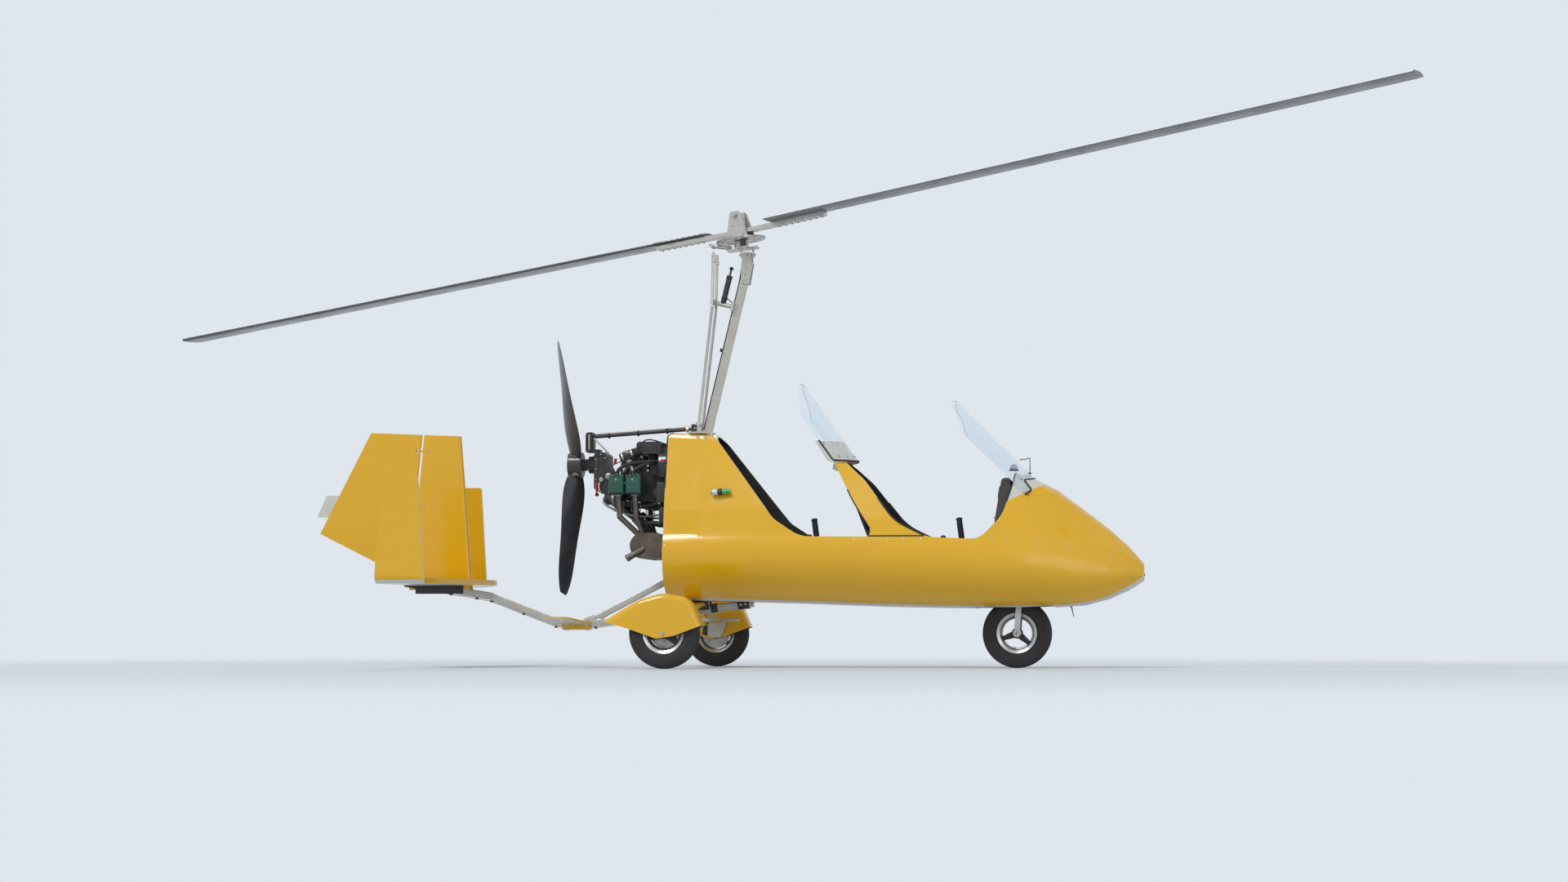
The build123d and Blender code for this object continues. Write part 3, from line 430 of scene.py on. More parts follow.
def chained(edges):
    """Runs of points that a bag of edges forms, each an open or closed line: rows of points, closed."""
    left = dict.fromkeys(edges)
    runs = []
    while left:
        edge = left.popitem()[0]
        run = [edge.verts[0], edge.verts[1]]
        for _ in range(2):
            grown = True
            while grown:
                grown = False
                for following in run[-1].link_edges:
                    if following in left:
                        left.pop(following)
                        run.append(following.other_vert(run[-1]))
                        grown = True
                        break
            run.reverse()
        closed = run[0] is run[-1]
        runs.append(([vert.co.copy() for vert in (run[:-1] if closed else run)], closed))
    return runs


def spaced(points, step, closed=False):
    """Points along a line at even steps."""
    line = points + [points[0]] if closed else points
    total = sum((b - a).length for a, b in zip(line, line[1:]))
    count = max(int(total / step), 2)
    marks = [total * index / count for index in range(count if closed else count + 1)]
    found = []
    walked = 0.0
    index = 0
    for mark in marks:
        while index < len(line) - 2 and walked + (line[index + 1] - line[index]).length < mark:
            walked += (line[index + 1] - line[index]).length
            index += 1
        run = line[index + 1] - line[index]
        found.append(line[index] + run * min(max((mark - walked) / max(run.length, 1e-9), 0.0), 1.0))
    return found


WELD_REACH = 0.00005


def edges_between(name, first, second):
    """Lines on a node where its faces of one material meet those of another."""
    bm = bmesh.new()
    bm.from_mesh(nodes[name].data)
    bmesh.ops.remove_doubles(bm, verts=bm.verts, dist=WELD_REACH)
    found = []
    for edge in bm.edges:
        kinds = {face.material_index for face in edge.link_faces}
        if kinds == {first, second}:
            found.append(edge)
    runs = chained(found)
    bm.free()
    return runs


OPENING_LOW = 0.70
strip = bmesh.new()
for name in ("fuselage", "cockpit_arch", "nose_cowl", "windshield_fairing"):
    for run, closed in edges_between(name, 0, 2):
        length = sum((b - a).length for a, b in zip(run, run[1:]))
        low = min(point.z for point in run)
        on_rim = low > OPENING_LOW and max(point.x for point in run) < 1.75
        if length > 0.25 and on_rim:
            hose(strip, spaced(run, 0.02, closed), 0.0042, sides=8, closed=closed, smooth=1)
fit("opening_edge_strips", strip, edge_rubber, "airframe")

screw_metal = finish(
    "screw metal", (0.52, 0.50, 0.47), 0.3, (0.3, 0.27, 0.23), metal=0.9, patch=30, amount=0.5,
)
SEAM_ROWS = (
    ((1.46, 0.800), (2.33, 0.622), 11),
    ((1.46, 0.775), (2.33, 0.596), 11),
    ((0.75, 0.756), (1.14, 0.756), 5),
    ((-0.384, 0.520), (-0.384, 1.350), 9),
    ((-0.165, 0.500), (-0.165, 0.860), 5),
)
hull = skin_of("fuselage", "nose_cowl", "cockpit_arch", "side_panel_left", "side_panel_right")
screws = bmesh.new()
for start, end, count in SEAM_ROWS:
    for index in range(count):
        share = index / (count - 1)
        x = start[0] + (end[0] - start[0]) * share
        z = start[1] + (end[1] - start[1]) * share
        for sign in (-1, 1):
            place, normal, _, _ = hull.ray_cast(Vector((x, sign * 0.6, z)), Vector((0, -sign, 0)))
            if place is not None:
                screw(screws, place, normal if normal.y * sign > 0 else -normal)
fit("skin_screws", screws, screw_metal, "airframe")

# Windshields: two clear sheets of acrylic, bent about a slant line. Their edges are polished and each foot
# sits in a black rubber seal with a row of dome screws through the fairing behind it.
acrylic = bpy.data.materials.new("clear acrylic")
acrylic.use_nodes = True
shader = acrylic.node_tree.nodes["Principled BSDF"]
shader.inputs["Base Color"].default_value = (0.93, 0.97, 1.0, 1)
shader.inputs["Roughness"].default_value = 0.02
shader.inputs["IOR"].default_value = 1.02
shader.inputs["Coat Weight"].default_value = 0.6
shader.inputs["Transmission Weight"].default_value = 1.0
rub_marks = node_in(acrylic.node_tree, "TexNoise", {"Scale": 60, "Detail": 6})
bumped(acrylic.node_tree, rub_marks.outputs["Fac"], 0.03, 0.0005)
polished_edge = finish("polished acrylic edge", (0.72, 0.80, 0.84), 0.12, (0.5, 0.58, 0.62), patch=20)


def unbroken(points):
    """Runs of a row of points that has jumps; a run of one or two points is left out."""
    runs = [points[:1]]
    for before, after in zip(points, points[1:]):
        if (after - before).length > 0.05:
            runs.append([])
        runs[-1].append(after)
    return [run for run in runs if len(run) > 2]


SEAL_REACH = 0.012
decks = skin_of("nose_cowl", "windshield_fairing", "cockpit_arch", "rear_screen_frame", "fuselage")
for name, mark in (("windshield_front", "front"), ("windshield_rear", "rear")):
    coated(name, acrylic)
    sheet_bm = bmesh.new()
    sheet_bm.from_mesh(nodes[name].data)
    bmesh.ops.remove_doubles(sheet_bm, verts=sheet_bm.verts, dist=WELD_REACH)
    sheet_bm.normal_update()
    border = [edge for edge in sheet_bm.edges if len(edge.link_faces) == 2 and edge.calc_face_angle(0) > 1.0]
    seal = bmesh.new()
    rim = bmesh.new()
    for run, closed in chained(border):
        line = spaced(run, 0.015, closed)
        low = [point for point in line if decks.find_nearest(point)[3] < SEAL_REACH]
        high = [point for point in line if decks.find_nearest(point)[3] >= SEAL_REACH]
        for points, bm, radius, sides in ((high, rim, 0.0016, 6), (low, seal, 0.0052, 8)):
            for one in unbroken(points):
                hose(bm, one, radius, sides=sides, smooth=1)
    sheet_bm.free()
    if seal.verts:
        fit(f"windshield_seal_{mark}", seal, edge_rubber, "airframe")
    if rim.verts:
        fit(f"windshield_edge_{mark}", rim, polished_edge, "airframe")

# Pale bedding tape between the rear sheet and its frame, cut from the face that both share.
TAPE_LIFT = 0.0006
bedding = bmesh.new()
bedding.from_mesh(nodes["rear_screen_frame"].data)
bmesh.ops.remove_doubles(bedding, verts=bedding.verts, dist=WELD_REACH)
bedding.normal_update()
rear_glass = skin_of("windshield_rear")
bare = []
for face in bedding.faces:
    _, facing, _, apart = rear_glass.find_nearest(face.calc_center_median())
    if apart > TAPE_LIFT or face.normal.dot(facing) > -0.8:
        bare.append(face)
bmesh.ops.delete(bedding, geom=bare, context="FACES")
bedding.normal_update()
for vert in bedding.verts:
    vert.co += vert.normal * TAPE_LIFT
bmesh.ops.solidify(bedding, geom=bedding.faces[:], thickness=0.0003)
fit("rear_screen_bedding", bedding, pale_gelcoat, "airframe")

DOME = ((0.0085, -0.0008), (0.0085, 0), (0.0058, 0), (0.0052, 0.0014), (0.003, 0.003), (0, 0.0034))
SCREW_LIFT = 0.024
SHIELD_FEET = (
    ("front", 2.6, (-0.155, -0.105, -0.05, 0.0, 0.05, 0.105, 0.155)),
    ("rear", 1.3, (-0.165, -0.11, -0.055, 0.0, 0.055, 0.11, 0.165)),
)
for mark, x_from, ys in SHIELD_FEET:
    glass = skin_of(f"windshield_{mark}")
    heads = bmesh.new()
    low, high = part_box(f"windshield_{mark}")
    for y in ys:
        z = low[2]
        place = None
        while place is None and z < high[2]:
            z += 0.004
            place = glass.ray_cast(Vector((x_from, y, z)), Vector((-1, 0, 0)))[0]
        place, normal, _, _ = glass.ray_cast(Vector((x_from, y, z + SCREW_LIFT)), Vector((-1, 0, 0)))
        if place is not None:
            lathe(heads, DOME, place, normal if normal.x > 0 else -normal, 16)
    fit(f"windshield_screws_{mark}", heads, screw_metal, "airframe")

# Instrument panel: a black box with a matt face that carries six round dials, a row of switches, a small
# radio and three red warning caps, all under the front cowl's rear edge.
black_panel = finish(
    "black panel", (0.022, 0.022, 0.024), 0.5, (0.045, 0.044, 0.042), patch=8, amount=0.4, bump=0.15,
)
dial_black = finish("dial black", (0.008, 0.008, 0.009), 0.4, (0.014, 0.014, 0.015), patch=30)
dial_marks = finish("dial marks", (0.78, 0.78, 0.74), 0.5, (0.6, 0.6, 0.56), patch=40, amount=0.2)
bezel_metal = finish(
    "bezel metal", (0.09, 0.09, 0.095), 0.36, (0.18, 0.17, 0.16), metal=0.7, patch=40, amount=0.5,
)
signal_red = finish("signal red", (0.55, 0.03, 0.02), 0.35, (0.35, 0.02, 0.015), patch=30, coat=0.3)
for name in ("instrument_panel", "firewall", "wheel_well", "belly_channel"):
    coated(name, black_panel)


def softened(bm, edges, reach):
    """Breaks edges with a small round."""
    bmesh.ops.bevel(bm, geom=list(edges), offset=reach, segments=2, profile=0.6, affect="EDGES", material=-1)


def brick(bm, size, centre=(0, 0, 0), turn=(0, 0, 0), soft=0.0015, frame_of=None):
    """Box with rounded edges, turned in degrees, in an optional frame."""
    tilt = Matrix.Rotation(math.radians(turn[2]), 4, "Z") @ Matrix.Rotation(math.radians(turn[1]), 4, "Y")
    tilt = tilt @ Matrix.Rotation(math.radians(turn[0]), 4, "X")
    place = (frame_of or Matrix()) @ Matrix.Translation(centre) @ tilt
    made = bmesh.ops.create_cube(bm, size=1, matrix=place @ Matrix.Diagonal((*size, 1)))
    if soft:
        softened(bm, dict.fromkeys(edge for vert in made["verts"] for edge in vert.link_edges), soft)


def bar(bm, start, end, radius, tip=None, sides=14):
    """Round bar with broken edges between two points, thinner at its far end if a tip is given."""
    start = Vector(start)
    span = Vector(end) - start
    length = span.length
    tip = radius if tip is None else tip
    soft = min(radius, tip) * 0.16
    profile = (
        (0, 0), (radius - soft, 0), (radius, soft), (tip, length - soft), (tip - soft, length), (0, length),
    )
    lathe(bm, profile, start, span, sides)


PANEL_LEAN = math.atan2(0.040, 0.320)
panel_face = Matrix.Translation((1.5805, 0, 0.960)) @ Matrix.Rotation(PANEL_LEAN - math.pi / 2, 4, "Y")
DIALS = (
    (-0.155, 0.07, 0.036), (-0.07, 0.07, 0.04), (0.02, 0.07, 0.04), (0.105, 0.07, 0.036),
    (-0.135, -0.03, 0.028), (-0.066, -0.03, 0.028),
)
dial_bodies = bmesh.new()
dial_faces = bmesh.new()
dial_ticks = bmesh.new()
outward = panel_face.to_3x3() @ Vector((0, 0, 1))
for across, rise, radius in DIALS:
    middle = panel_face @ Vector((rise, across, 0.0))
    ring = (
        (radius + 0.004, -0.002), (radius + 0.0045, 0.004), (radius + 0.003, 0.006), (radius, 0.0055),
        (radius, 0.0015),
    )
    lathe(dial_bodies, ring, middle, outward, 36)
    lathe(dial_faces, ((0, 0.0012), (radius, 0.0012)), middle, outward, 36)
    dial = panel_face @ Matrix.Translation((rise, across, 0))
    reach = radius * 0.82
    for x, y in ((reach, reach), (reach, -reach), (-reach, reach), (-reach, -reach)):
        screw(dial_bodies, dial @ Vector((x, y, 0.0004)), outward, 0.0026)
    for tick in (*range(17), *range(20, 24)):
        angle = math.tau * tick / 24
        long = 0.006 if tick % 3 == 0 else 0.0035
        spoke = Matrix.Rotation(angle, 4, "Z") @ Matrix.Translation((radius - 0.003 - long / 2, 0, 0.0022))
        brick(dial_ticks, (long, 0.0011, 0.0004), soft=0, frame_of=dial @ spoke)
    needle = Matrix.Rotation(2.4 + across * 9, 4, "Z") @ Matrix.Translation((radius * 0.33, 0, 0.0032))
    brick(dial_ticks, (radius * 0.8, 0.0014, 0.0006), soft=0, frame_of=dial @ needle)
    lathe(dial_bodies, ((0, 0.0045), (0.003, 0.0042), (0.0038, 0.0025)), middle, outward, 16)
radio = panel_face @ Matrix.Translation((-0.032, 0.07, 0))
brick(dial_bodies, (0.040, 0.150, 0.012), (0, 0, 0.004), soft=0.002, frame_of=radio)
brick(dial_faces, (0.018, 0.070, 0.002), (0.003, -0.012, 0.0102), soft=0.0004, frame_of=radio)
for place in (-0.062, 0.050, 0.064):
    lathe(
        dial_bodies, ((0.007, 0.0), (0.0065, 0.012), (0.005, 0.013), (0, 0.013)),
        radio @ Vector((0, place, 0.009)), outward, 18,
    )
switch_row = bmesh.new()
for index in range(8):
    base = panel_face @ Vector((-0.082, -0.155 + index * 0.038, 0))
    lathe(switch_row, ((0.007, 0), (0.0066, 0.002), (0.0045, 0.0035), (0.0026, 0.0045)), base, outward, 14)
    bar(
        switch_row, base + outward * 0.002, base + outward * 0.020 + Vector((0, 0, 0.005)), 0.0016, 0.0026,
        10,
    )
fit("panel_dials", dial_bodies, bezel_metal, "airframe")
fit("panel_dial_faces", dial_faces, dial_black, "airframe")
fit("panel_dial_marks", dial_ticks, dial_marks, "airframe")
fit("panel_switches", switch_row, screw_metal, "airframe")
alarm_caps = bmesh.new()
for index in range(3):
    lathe(
        alarm_caps, ((0.005, 0), (0.005, 0.003), (0.003, 0.005), (0, 0.0055)),
        panel_face @ Vector((0.128, -0.03 + index * 0.03, 0)), outward, 16,
    )
fit("panel_warning_caps", alarm_caps, signal_red, "airframe")

# Seats: black glass-fibre buckets that carry one-piece padded covers in black cordura, sewn into channels.
# Each cover is its own closed cushion, blown up as cloth, with the channel seams pulled in afterwards.
for name in ("seat_front", "seat_rear"):
    coated(name, black_panel)
weave = finish("black cordura", (0.020, 0.020, 0.022), 0.85, (0.045, 0.044, 0.043), patch=10, amount=0.5)
tree = weave.node_tree
spot = node_in(tree, "TexCoord").outputs["Object"]
threads = []
for axis in ("Y", "DIAGONAL"):
    rib = {"Scale": 260, "Distortion": 0.6, "Vector": spot}
    threads.append(node_in(tree, "TexWave", rib, bands_direction=axis).outputs["Fac"])
crossed = node_in(tree, "Math", {0: threads[0], 1: threads[1]}, operation="MULTIPLY")
bumped(tree, crossed.outputs[0], 0.35, 0.0006)
tree.nodes["Principled BSDF"].inputs["Sheen Weight"].default_value = 0.25

# Columns: name, hip x and z, top of the back x and z, front edge x and z, half width
SEATS = (
    ("front", (0.940, 0.470), (0.700, 1.090), (1.300, 0.520), 0.21),
    ("rear", (0.060, 0.490), (-0.130, 1.200), (0.430, 0.540), 0.20),
)


def baked(piece):
    """New mesh of a piece as its modifiers leave it; they are then taken off."""
    view = bpy.context.evaluated_depsgraph_get()
    mesh = bpy.data.meshes.new_from_object(piece.evaluated_get(view))
    piece.modifiers.clear()
    return mesh


def cloth_swell(piece, cap):
    """Remeshes a closed pad, blows it up as cloth for twenty frames and keeps every move under the cap."""
    remesh = piece.modifiers.new("even faces", "REMESH")
    remesh.mode = "VOXEL"
    remesh.voxel_size = 0.008
    mesh = baked(piece)
    piece.data = mesh
    before = [vertex.co.copy() for vertex in mesh.vertices]
    cloth = piece.modifiers.new("swell", "CLOTH")
    cloth.settings.use_pressure = True
    cloth.settings.uniform_pressure_force = 4
    cloth.settings.effector_weights.gravity = 0
    cloth.settings.mass = 0.3
    cloth.settings.tension_stiffness = 15
    cloth.point_cache.frame_end = 20
    for number in range(1, 21):
        scene.frame_set(number)
    swollen = baked(piece)
    scene.frame_set(1)
    for vertex, start in zip(swollen.vertices, before):
        move = vertex.co - start
        if move.length > cap:
            vertex.co = start + move.normalized() * cap
    piece.data = swollen


def seat_lines(hip, head, knee):
    """Hip, ways along seat and backrest, ways square to both on the sitter's side, and both lengths."""
    hip, head, knee = (Vector((x, 0, z)) for x, z in (hip, head, knee))
    run = (knee - hip).normalized()
    rise = (head - hip).normalized()
    over = Vector((-run.z, 0, run.x))
    ahead_of = Vector((rise.z, 0, -rise.x))
    return hip, run, rise, over, ahead_of, (knee - hip).length, (head - hip).length


CHANNELS = 6
for name, *marks, half in SEATS:
    hip, run, rise, over, ahead_of, seat_length, back_length = seat_lines(*marks)
    seat_length -= 0.03
    back_length -= 0.05
    thick = 0.040
    pad = bmesh.new()
    lines = []
    for share in range(15):
        if share < 7:
            place = hip + rise * back_length * (1 - share / 7)
            inward = ahead_of
        elif share == 7:
            place = hip
            inward = (ahead_of + over).normalized() * 1.3
        else:
            place = hip + run * seat_length * (share - 7) / 7
            inward = over
        taper = 0.65 if share in (0, 14) else 1.0
        lines.append((place + inward * 0.009, place + inward * (0.009 + thick * taper)))
    width = half - 0.028
    rows = []
    for low, high in lines:
        corners = ((-width, low), (width, low), (width, high), (-width, high))
        rows.append([pad.verts.new((point.x, y, point.z)) for y, point in corners])
    walled(pad, zip(rows, rows[1:]))
    pad.faces.new(rows[0])
    pad.faces.new(rows[-1])
    bmesh.ops.recalc_face_normals(pad, faces=pad.faces)
    softened(pad, pad.edges, 0.006)
    cushion = fit(f"seat_cover_{name}", pad, weave, "airframe")
    cloth_swell(cushion, 0.012)
    mesh = cushion.data
    mesh.materials.clear()
    mesh.materials.append(weave)
    mesh.polygons.foreach_set("use_smooth", [True] * len(mesh.polygons))
    for vertex in mesh.vertices:
        point = vertex.co
        side = point - hip
        along_back = side.dot(rise)
        along_seat = side.dot(run)
        on_back = along_back > along_seat
        share = along_back / back_length if on_back else along_seat / seat_length
        lift = side.dot(ahead_of) if on_back else side.dot(over)
        if lift < 0.028:
            continue
        phase = (share * CHANNELS) % 1.0
        off = min(phase, 1.0 - phase)
        dent = 0.0
        if 0.06 < share < 0.96:
            dent = 0.010 * math.exp(-((off / 0.10) ** 2))
        piping = abs(abs(point.y) - width * 0.78)
        dent = max(dent, 0.007 * math.exp(-((piping / 0.006) ** 2)))
        vertex.co = point - (ahead_of if on_back else over) * dent
    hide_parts(f"cushion_{name}")
    soft = cushion.modifiers.new("soft", "SUBSURF")
    soft.levels = 1
    soft.render_levels = 1

# Harnesses: four-point belts of grey-black webbing. Shoulder straps run from the arch or the mast's foot
# down the backrest to a turn buckle on the lap belt, whose ends bolt to the tub's sides.
webbing = finish("harness webbing", (0.045, 0.047, 0.052), 0.8, (0.10, 0.10, 0.10), patch=12, amount=0.4)
tree = webbing.node_tree
rib = {"Scale": 220, "Vector": node_in(tree, "TexCoord").outputs["Object"]}
ribs = node_in(tree, "TexWave", rib, bands_direction="Z")
bumped(tree, ribs.outputs["Fac"], 0.3, 0.0005)
plated = finish(
    "plated steel", (0.60, 0.58, 0.53), 0.26, (0.34, 0.31, 0.27), metal=0.92, patch=26, amount=0.4,
)


def strap(bm, points, width, thick, across):
    """Flat webbing along a smooth line; its width lies along one direction all the way."""
    path = smoothed(points, 5)
    across = Vector(across).normalized()
    section = (
        (-0.5, -0.3), (-0.47, -0.5), (0.47, -0.5), (0.5, -0.3), (0.5, 0.3), (0.47, 0.5), (-0.47, 0.5),
        (-0.5, 0.3),
    )
    rings = []
    for index, point in enumerate(path):
        ahead = (path[min(index + 1, len(path) - 1)] - path[max(index - 1, 0)]).normalized()
        flat = (across - ahead * across.dot(ahead)).normalized()
        lift = ahead.cross(flat)
        rings.append([bm.verts.new(point + flat * width * u + lift * thick * v) for u, v in section])
    walled(bm, zip(rings, rings[1:]))
    bm.faces.new(rings[0])
    bm.faces.new(rings[-1])


def bolt(bm, place, direction, size=0.005, nut=True):
    """Washer and hexagon head that stand on a surface; size is the thread's diameter."""
    place = Vector(place)
    direction = Vector(direction).normalized()
    washer = ((0, 0), (1.05, 0), (1.1, 0.1), (1.05, 0.2), (0, 0.2))
    lathe(bm, [(size * out, size * up) for out, up in washer], place, direction, 16)
    head = ((0, 0), (0.92, 0), (0.92, 0.55), (0.8, 0.66), (0, 0.66))
    lathe(bm, [(size * out, size * up) for out, up in head], place + direction * size * 0.2, direction, 6)
    if nut:
        tip = place + direction * size * 0.8
        bar(bm, tip, tip + direction * size * 0.35, size * 0.48, sides=10)


for name, *marks, half in SEATS:
    hip, run, rise, over, ahead_of, _, back_length = seat_lines(*marks)
    belts = bmesh.new()
    metal = bmesh.new()
    lap = hip + run * 0.16 + over * 0.078
    top = hip + rise * (back_length - 0.02)
    anchor = Vector((0.602, 0, 1.205)) if name == "front" else Vector((-0.165, 0, 1.395))
    for sign in (-1, 1):
        side = Vector((0, sign, 0))
        over_back = [top + ahead_of * 0.062 + side * 0.085]
        for share in (0.80, 0.60, 0.42):
            on_back = hip + rise * back_length * share + ahead_of * 0.066
            over_back.append(on_back + side * (0.075 - (1 - share) * 0.03))
        start = anchor + side * 0.06
        middle = (start + over_back[0]) * 0.5 + Vector((0, 0, 0.015))
        strap(
            belts, [start, middle, *over_back, lap + side * 0.045 + over * 0.012], 0.044, 0.0022, (0, 1, 0),
        )
        hip_end = hip + run * 0.05 + side * (half - 0.006) + over * 0.03
        strap(
            belts, [hip_end, hip + run * 0.13 + side * (half - 0.055) + over * 0.085, lap + side * 0.05],
            0.044, 0.0022, run,
        )
        brick(metal, (0.030, 0.006, 0.052), start, (0, 12, 0), soft=0.002)
        bolt(metal, start + Vector((0.004, 0, 0)), (1, 0, 0), 0.006)
        adjuster = (over_back[1] + over_back[2]) * 0.5 + ahead_of * 0.003
        brick(
            metal, (0.005, 0.054, 0.030), adjuster, (0, math.degrees(math.atan2(rise.x, rise.z)), 0),
            soft=0.0016,
        )
        bolt(metal, hip_end, (0, -sign, 0), 0.006)
    lathe(
        metal, ((0, 0.014), (0.014, 0.013), (0.024, 0.009), (0.027, 0.003), (0.027, 0)), lap + over * 0.008,
        over, 28,
    )
    brick(metal, (0.010, 0.036, 0.004), lap + over * 0.0225, soft=0.0012)
    fit(f"harness_{name}", belts, webbing, "airframe")
    fit(f"harness_buckle_{name}", metal, plated, "airframe")

# Small controls: two sticks with ribbed grips and rubber boots, pedals on cross bars in both footwells and a
# throttle quadrant with a round knob on the port side of each seat. None of them has a joint.
soft_rubber = finish(
    "soft black rubber", (0.015, 0.015, 0.016), 0.6, (0.035, 0.034, 0.033), patch=14, amount=0.5, bump=0.15,
)
for name, foot_x, foot_z in (("front", 1.390, 0.372), ("rear", 0.520, 0.396)):
    coated(f"stick_{name}", soft_rubber)
    boot = bmesh.new()
    folds = [(0.062, 0.0), (0.060, 0.004)]
    for index in range(5):
        folds += [
            (0.052 - index * 0.0075, 0.012 + index * 0.014),
            (0.043 - index * 0.0072, 0.019 + index * 0.014),
        ]
    folds += [(0.0145, 0.086), (0.0125, 0.090)]
    lathe(boot, folds, (foot_x, 0, foot_z), (-0.10, 0, 1), 32)
    low = Vector((foot_x - 0.040, 0, 0.765))
    high = Vector((foot_x - 0.055, 0, 0.880))
    along_grip = high - low
    for index in range(6):
        lathe(
            boot, ((0.0168, 0), (0.0186, 0.002), (0.0186, 0.006), (0.0168, 0.008)),
            low + along_grip * (0.10 + index * 0.125), along_grip,
        )
    lathe(
        boot, ((0.0172, 0), (0.0195, 0.003), (0.0190, 0.010), (0.012, 0.016), (0, 0.017)),
        high - along_grip * 0.03, along_grip,
    )
    fit(f"stick_boot_{name}", boot, soft_rubber, "airframe")
    button = bmesh.new()
    lathe(
        button, ((0.0048, 0), (0.0048, 0.004), (0.003, 0.0058), (0, 0.006)),
        high + Vector((0.012, 0.004, -0.012)), (1, 0.2, 0.4), 16,
    )
    fit(f"stick_button_{name}", button, signal_red, "airframe")

pedal_metal = finish(
    "anodised pedal metal", (0.25, 0.25, 0.26), 0.4, (0.40, 0.39, 0.37), metal=0.8, patch=22, amount=0.6,
    bump=0.06,
)


def band(bm, inner, outer, length, place, direction, steps=24):
    """Clip or collar: a ring whose outer edges are slightly broken."""
    profile = ((inner, 0), (outer, 0.001), (outer, length), (inner, length + 0.001))
    lathe(bm, profile, place, direction, steps)


for name, x, z, spread in (("front", 1.86, 0.455, 0.105), ("rear", 0.80, 0.440, 0.150)):
    pedals = bmesh.new()
    bar(pedals, (x, -spread - 0.055, z), (x, spread + 0.055, z), 0.008)
    for sign in (-1, 1):
        y = sign * spread
        bar(pedals, (x, y, z), (x - 0.035, y, z + 0.145), 0.0075)
        bar(pedals, (x - 0.036, y - 0.042, z + 0.145), (x - 0.036, y + 0.042, z + 0.145), 0.009)
        for rib in range(7):
            band(
                pedals, 0.009, 0.0105, 0.003, (x - 0.036, y - 0.036 + rib * 0.0115, z + 0.145), (0, 1, 0),
                14,
            )
        brick(pedals, (0.030, 0.008, 0.050), (x, sign * (spread + 0.058), z - 0.018), soft=0.002)
        bolt(pedals, (x, sign * (spread + 0.062), z - 0.004), (0, sign, 0))
    fit(f"pedals_{name}", pedals, pedal_metal, "airframe")

for name, x, z in (("front", 1.16, 0.655), ("rear", 0.34, 0.665)):
    lever = bmesh.new()
    wall = hull.ray_cast(Vector((x, 0.6, z)), Vector((0, -1, 0)))[0]
    y = wall.y - 0.034
    brick(lever, (0.150, 0.022, 0.075), (x, y, z), soft=0.005)
    brick(lever, (0.120, 0.010, 0.040), (x, y + 0.014, z - 0.012), soft=0.002)
    bar(lever, (x + 0.01, y - 0.004, z + 0.018), (x + 0.045, y - 0.008, z + 0.125), 0.006)
    bar(lever, (x - 0.04, y - 0.004, z + 0.018), (x - 0.055, y - 0.010, z + 0.085), 0.005)
    bolt(lever, (x + 0.01, y - 0.0115, z - 0.005), (0, -1, 0), 0.006)
    fit(f"throttle_quadrant_{name}", lever, black_panel, "airframe")
    knobs = bmesh.new()
    lathe(
        knobs,
        (
            (0, 0), (0.010, 0.002), (0.016, 0.010), (0.0175, 0.018), (0.016, 0.026), (0.009, 0.033),
            (0, 0.035),
        ),
        (x + 0.040, y - 0.008, z + 0.112), (0.3, -0.05, 1),
    )
    lathe(
        knobs, ((0, 0), (0.008, 0.002), (0.011, 0.010), (0.008, 0.020), (0, 0.022)),
        (x - 0.053, y - 0.010, z + 0.078), (-0.2, -0.05, 1), 20,
    )
    fit(f"throttle_knobs_{name}", knobs, soft_rubber, "airframe")

# Wheels: three alike. Each has a cast silver rim in two halves with a rolled lip, a black three-arm spider,
# a turned hub with a dust cap and a small ribbed tyre; the main wheels carry a brake disc inboard.
TYRE_R = 0.205
RIM_R = 0.112
MAIN_AXLE_X = -0.280
NOSE_AXLE_X = 1.677
HALF_TRACK = 0.850
rubber = finish(
    "tyre rubber", (0.018, 0.018, 0.019), 0.74, (0.055, 0.050, 0.045), patch=14, amount=0.5, bump=0.2,
    grain=500,
)
rim_silver = finish(
    "silver rim", (0.60, 0.60, 0.59), 0.28, (0.35, 0.34, 0.32), metal=0.9, patch=18, amount=0.4,
)
spider_black = finish(
    "black cast spider", (0.020, 0.020, 0.021), 0.42, (0.05, 0.048, 0.045), patch=18, amount=0.4, bump=0.12,
)
disc_steel = finish(
    "brake disc steel", (0.42, 0.41, 0.40), 0.3, (0.22, 0.18, 0.15), metal=0.95, patch=16, amount=0.5,
)
HALF_TYRE = (
    (RIM_R, 0.0360), (0.1170, 0.0405), (0.1225, 0.0462), (0.1285, 0.0492), (0.1330, 0.0482),
    (0.1350, 0.0497), (0.1480, 0.0498), (0.1560, 0.0492), (0.1575, 0.0476), (0.1600, 0.0488),
    (0.1720, 0.0468), (0.1830, 0.0436), (0.1915, 0.0396), (0.1980, 0.0348), (0.2015, 0.0300),
    (0.2020, 0.0290), (0.1975, 0.0284), (0.1975, 0.0246), (0.2030, 0.0240), (0.2045, 0.0160),
    (0.2046, 0.0110), (0.1995, 0.0104), (0.1995, 0.0066), (0.2049, 0.0060), (TYRE_R, 0.0),
)
HALF_RIM = (
    (0.1185, 0.0455), (0.1190, 0.0438), (0.1160, 0.0425), (0.1115, 0.0400), (0.1115, 0.0365),
    (0.1050, 0.0345), (0.1010, 0.0300), (0.0960, 0.0180), (0.0945, 0.0060),
)


def circle(count, radius):
    """Evenly spread points on a circle, as pairs across and up."""
    turns = [math.tau * index / count for index in range(count)]
    return [(radius * math.cos(turn), radius * math.sin(turn)) for turn in turns]


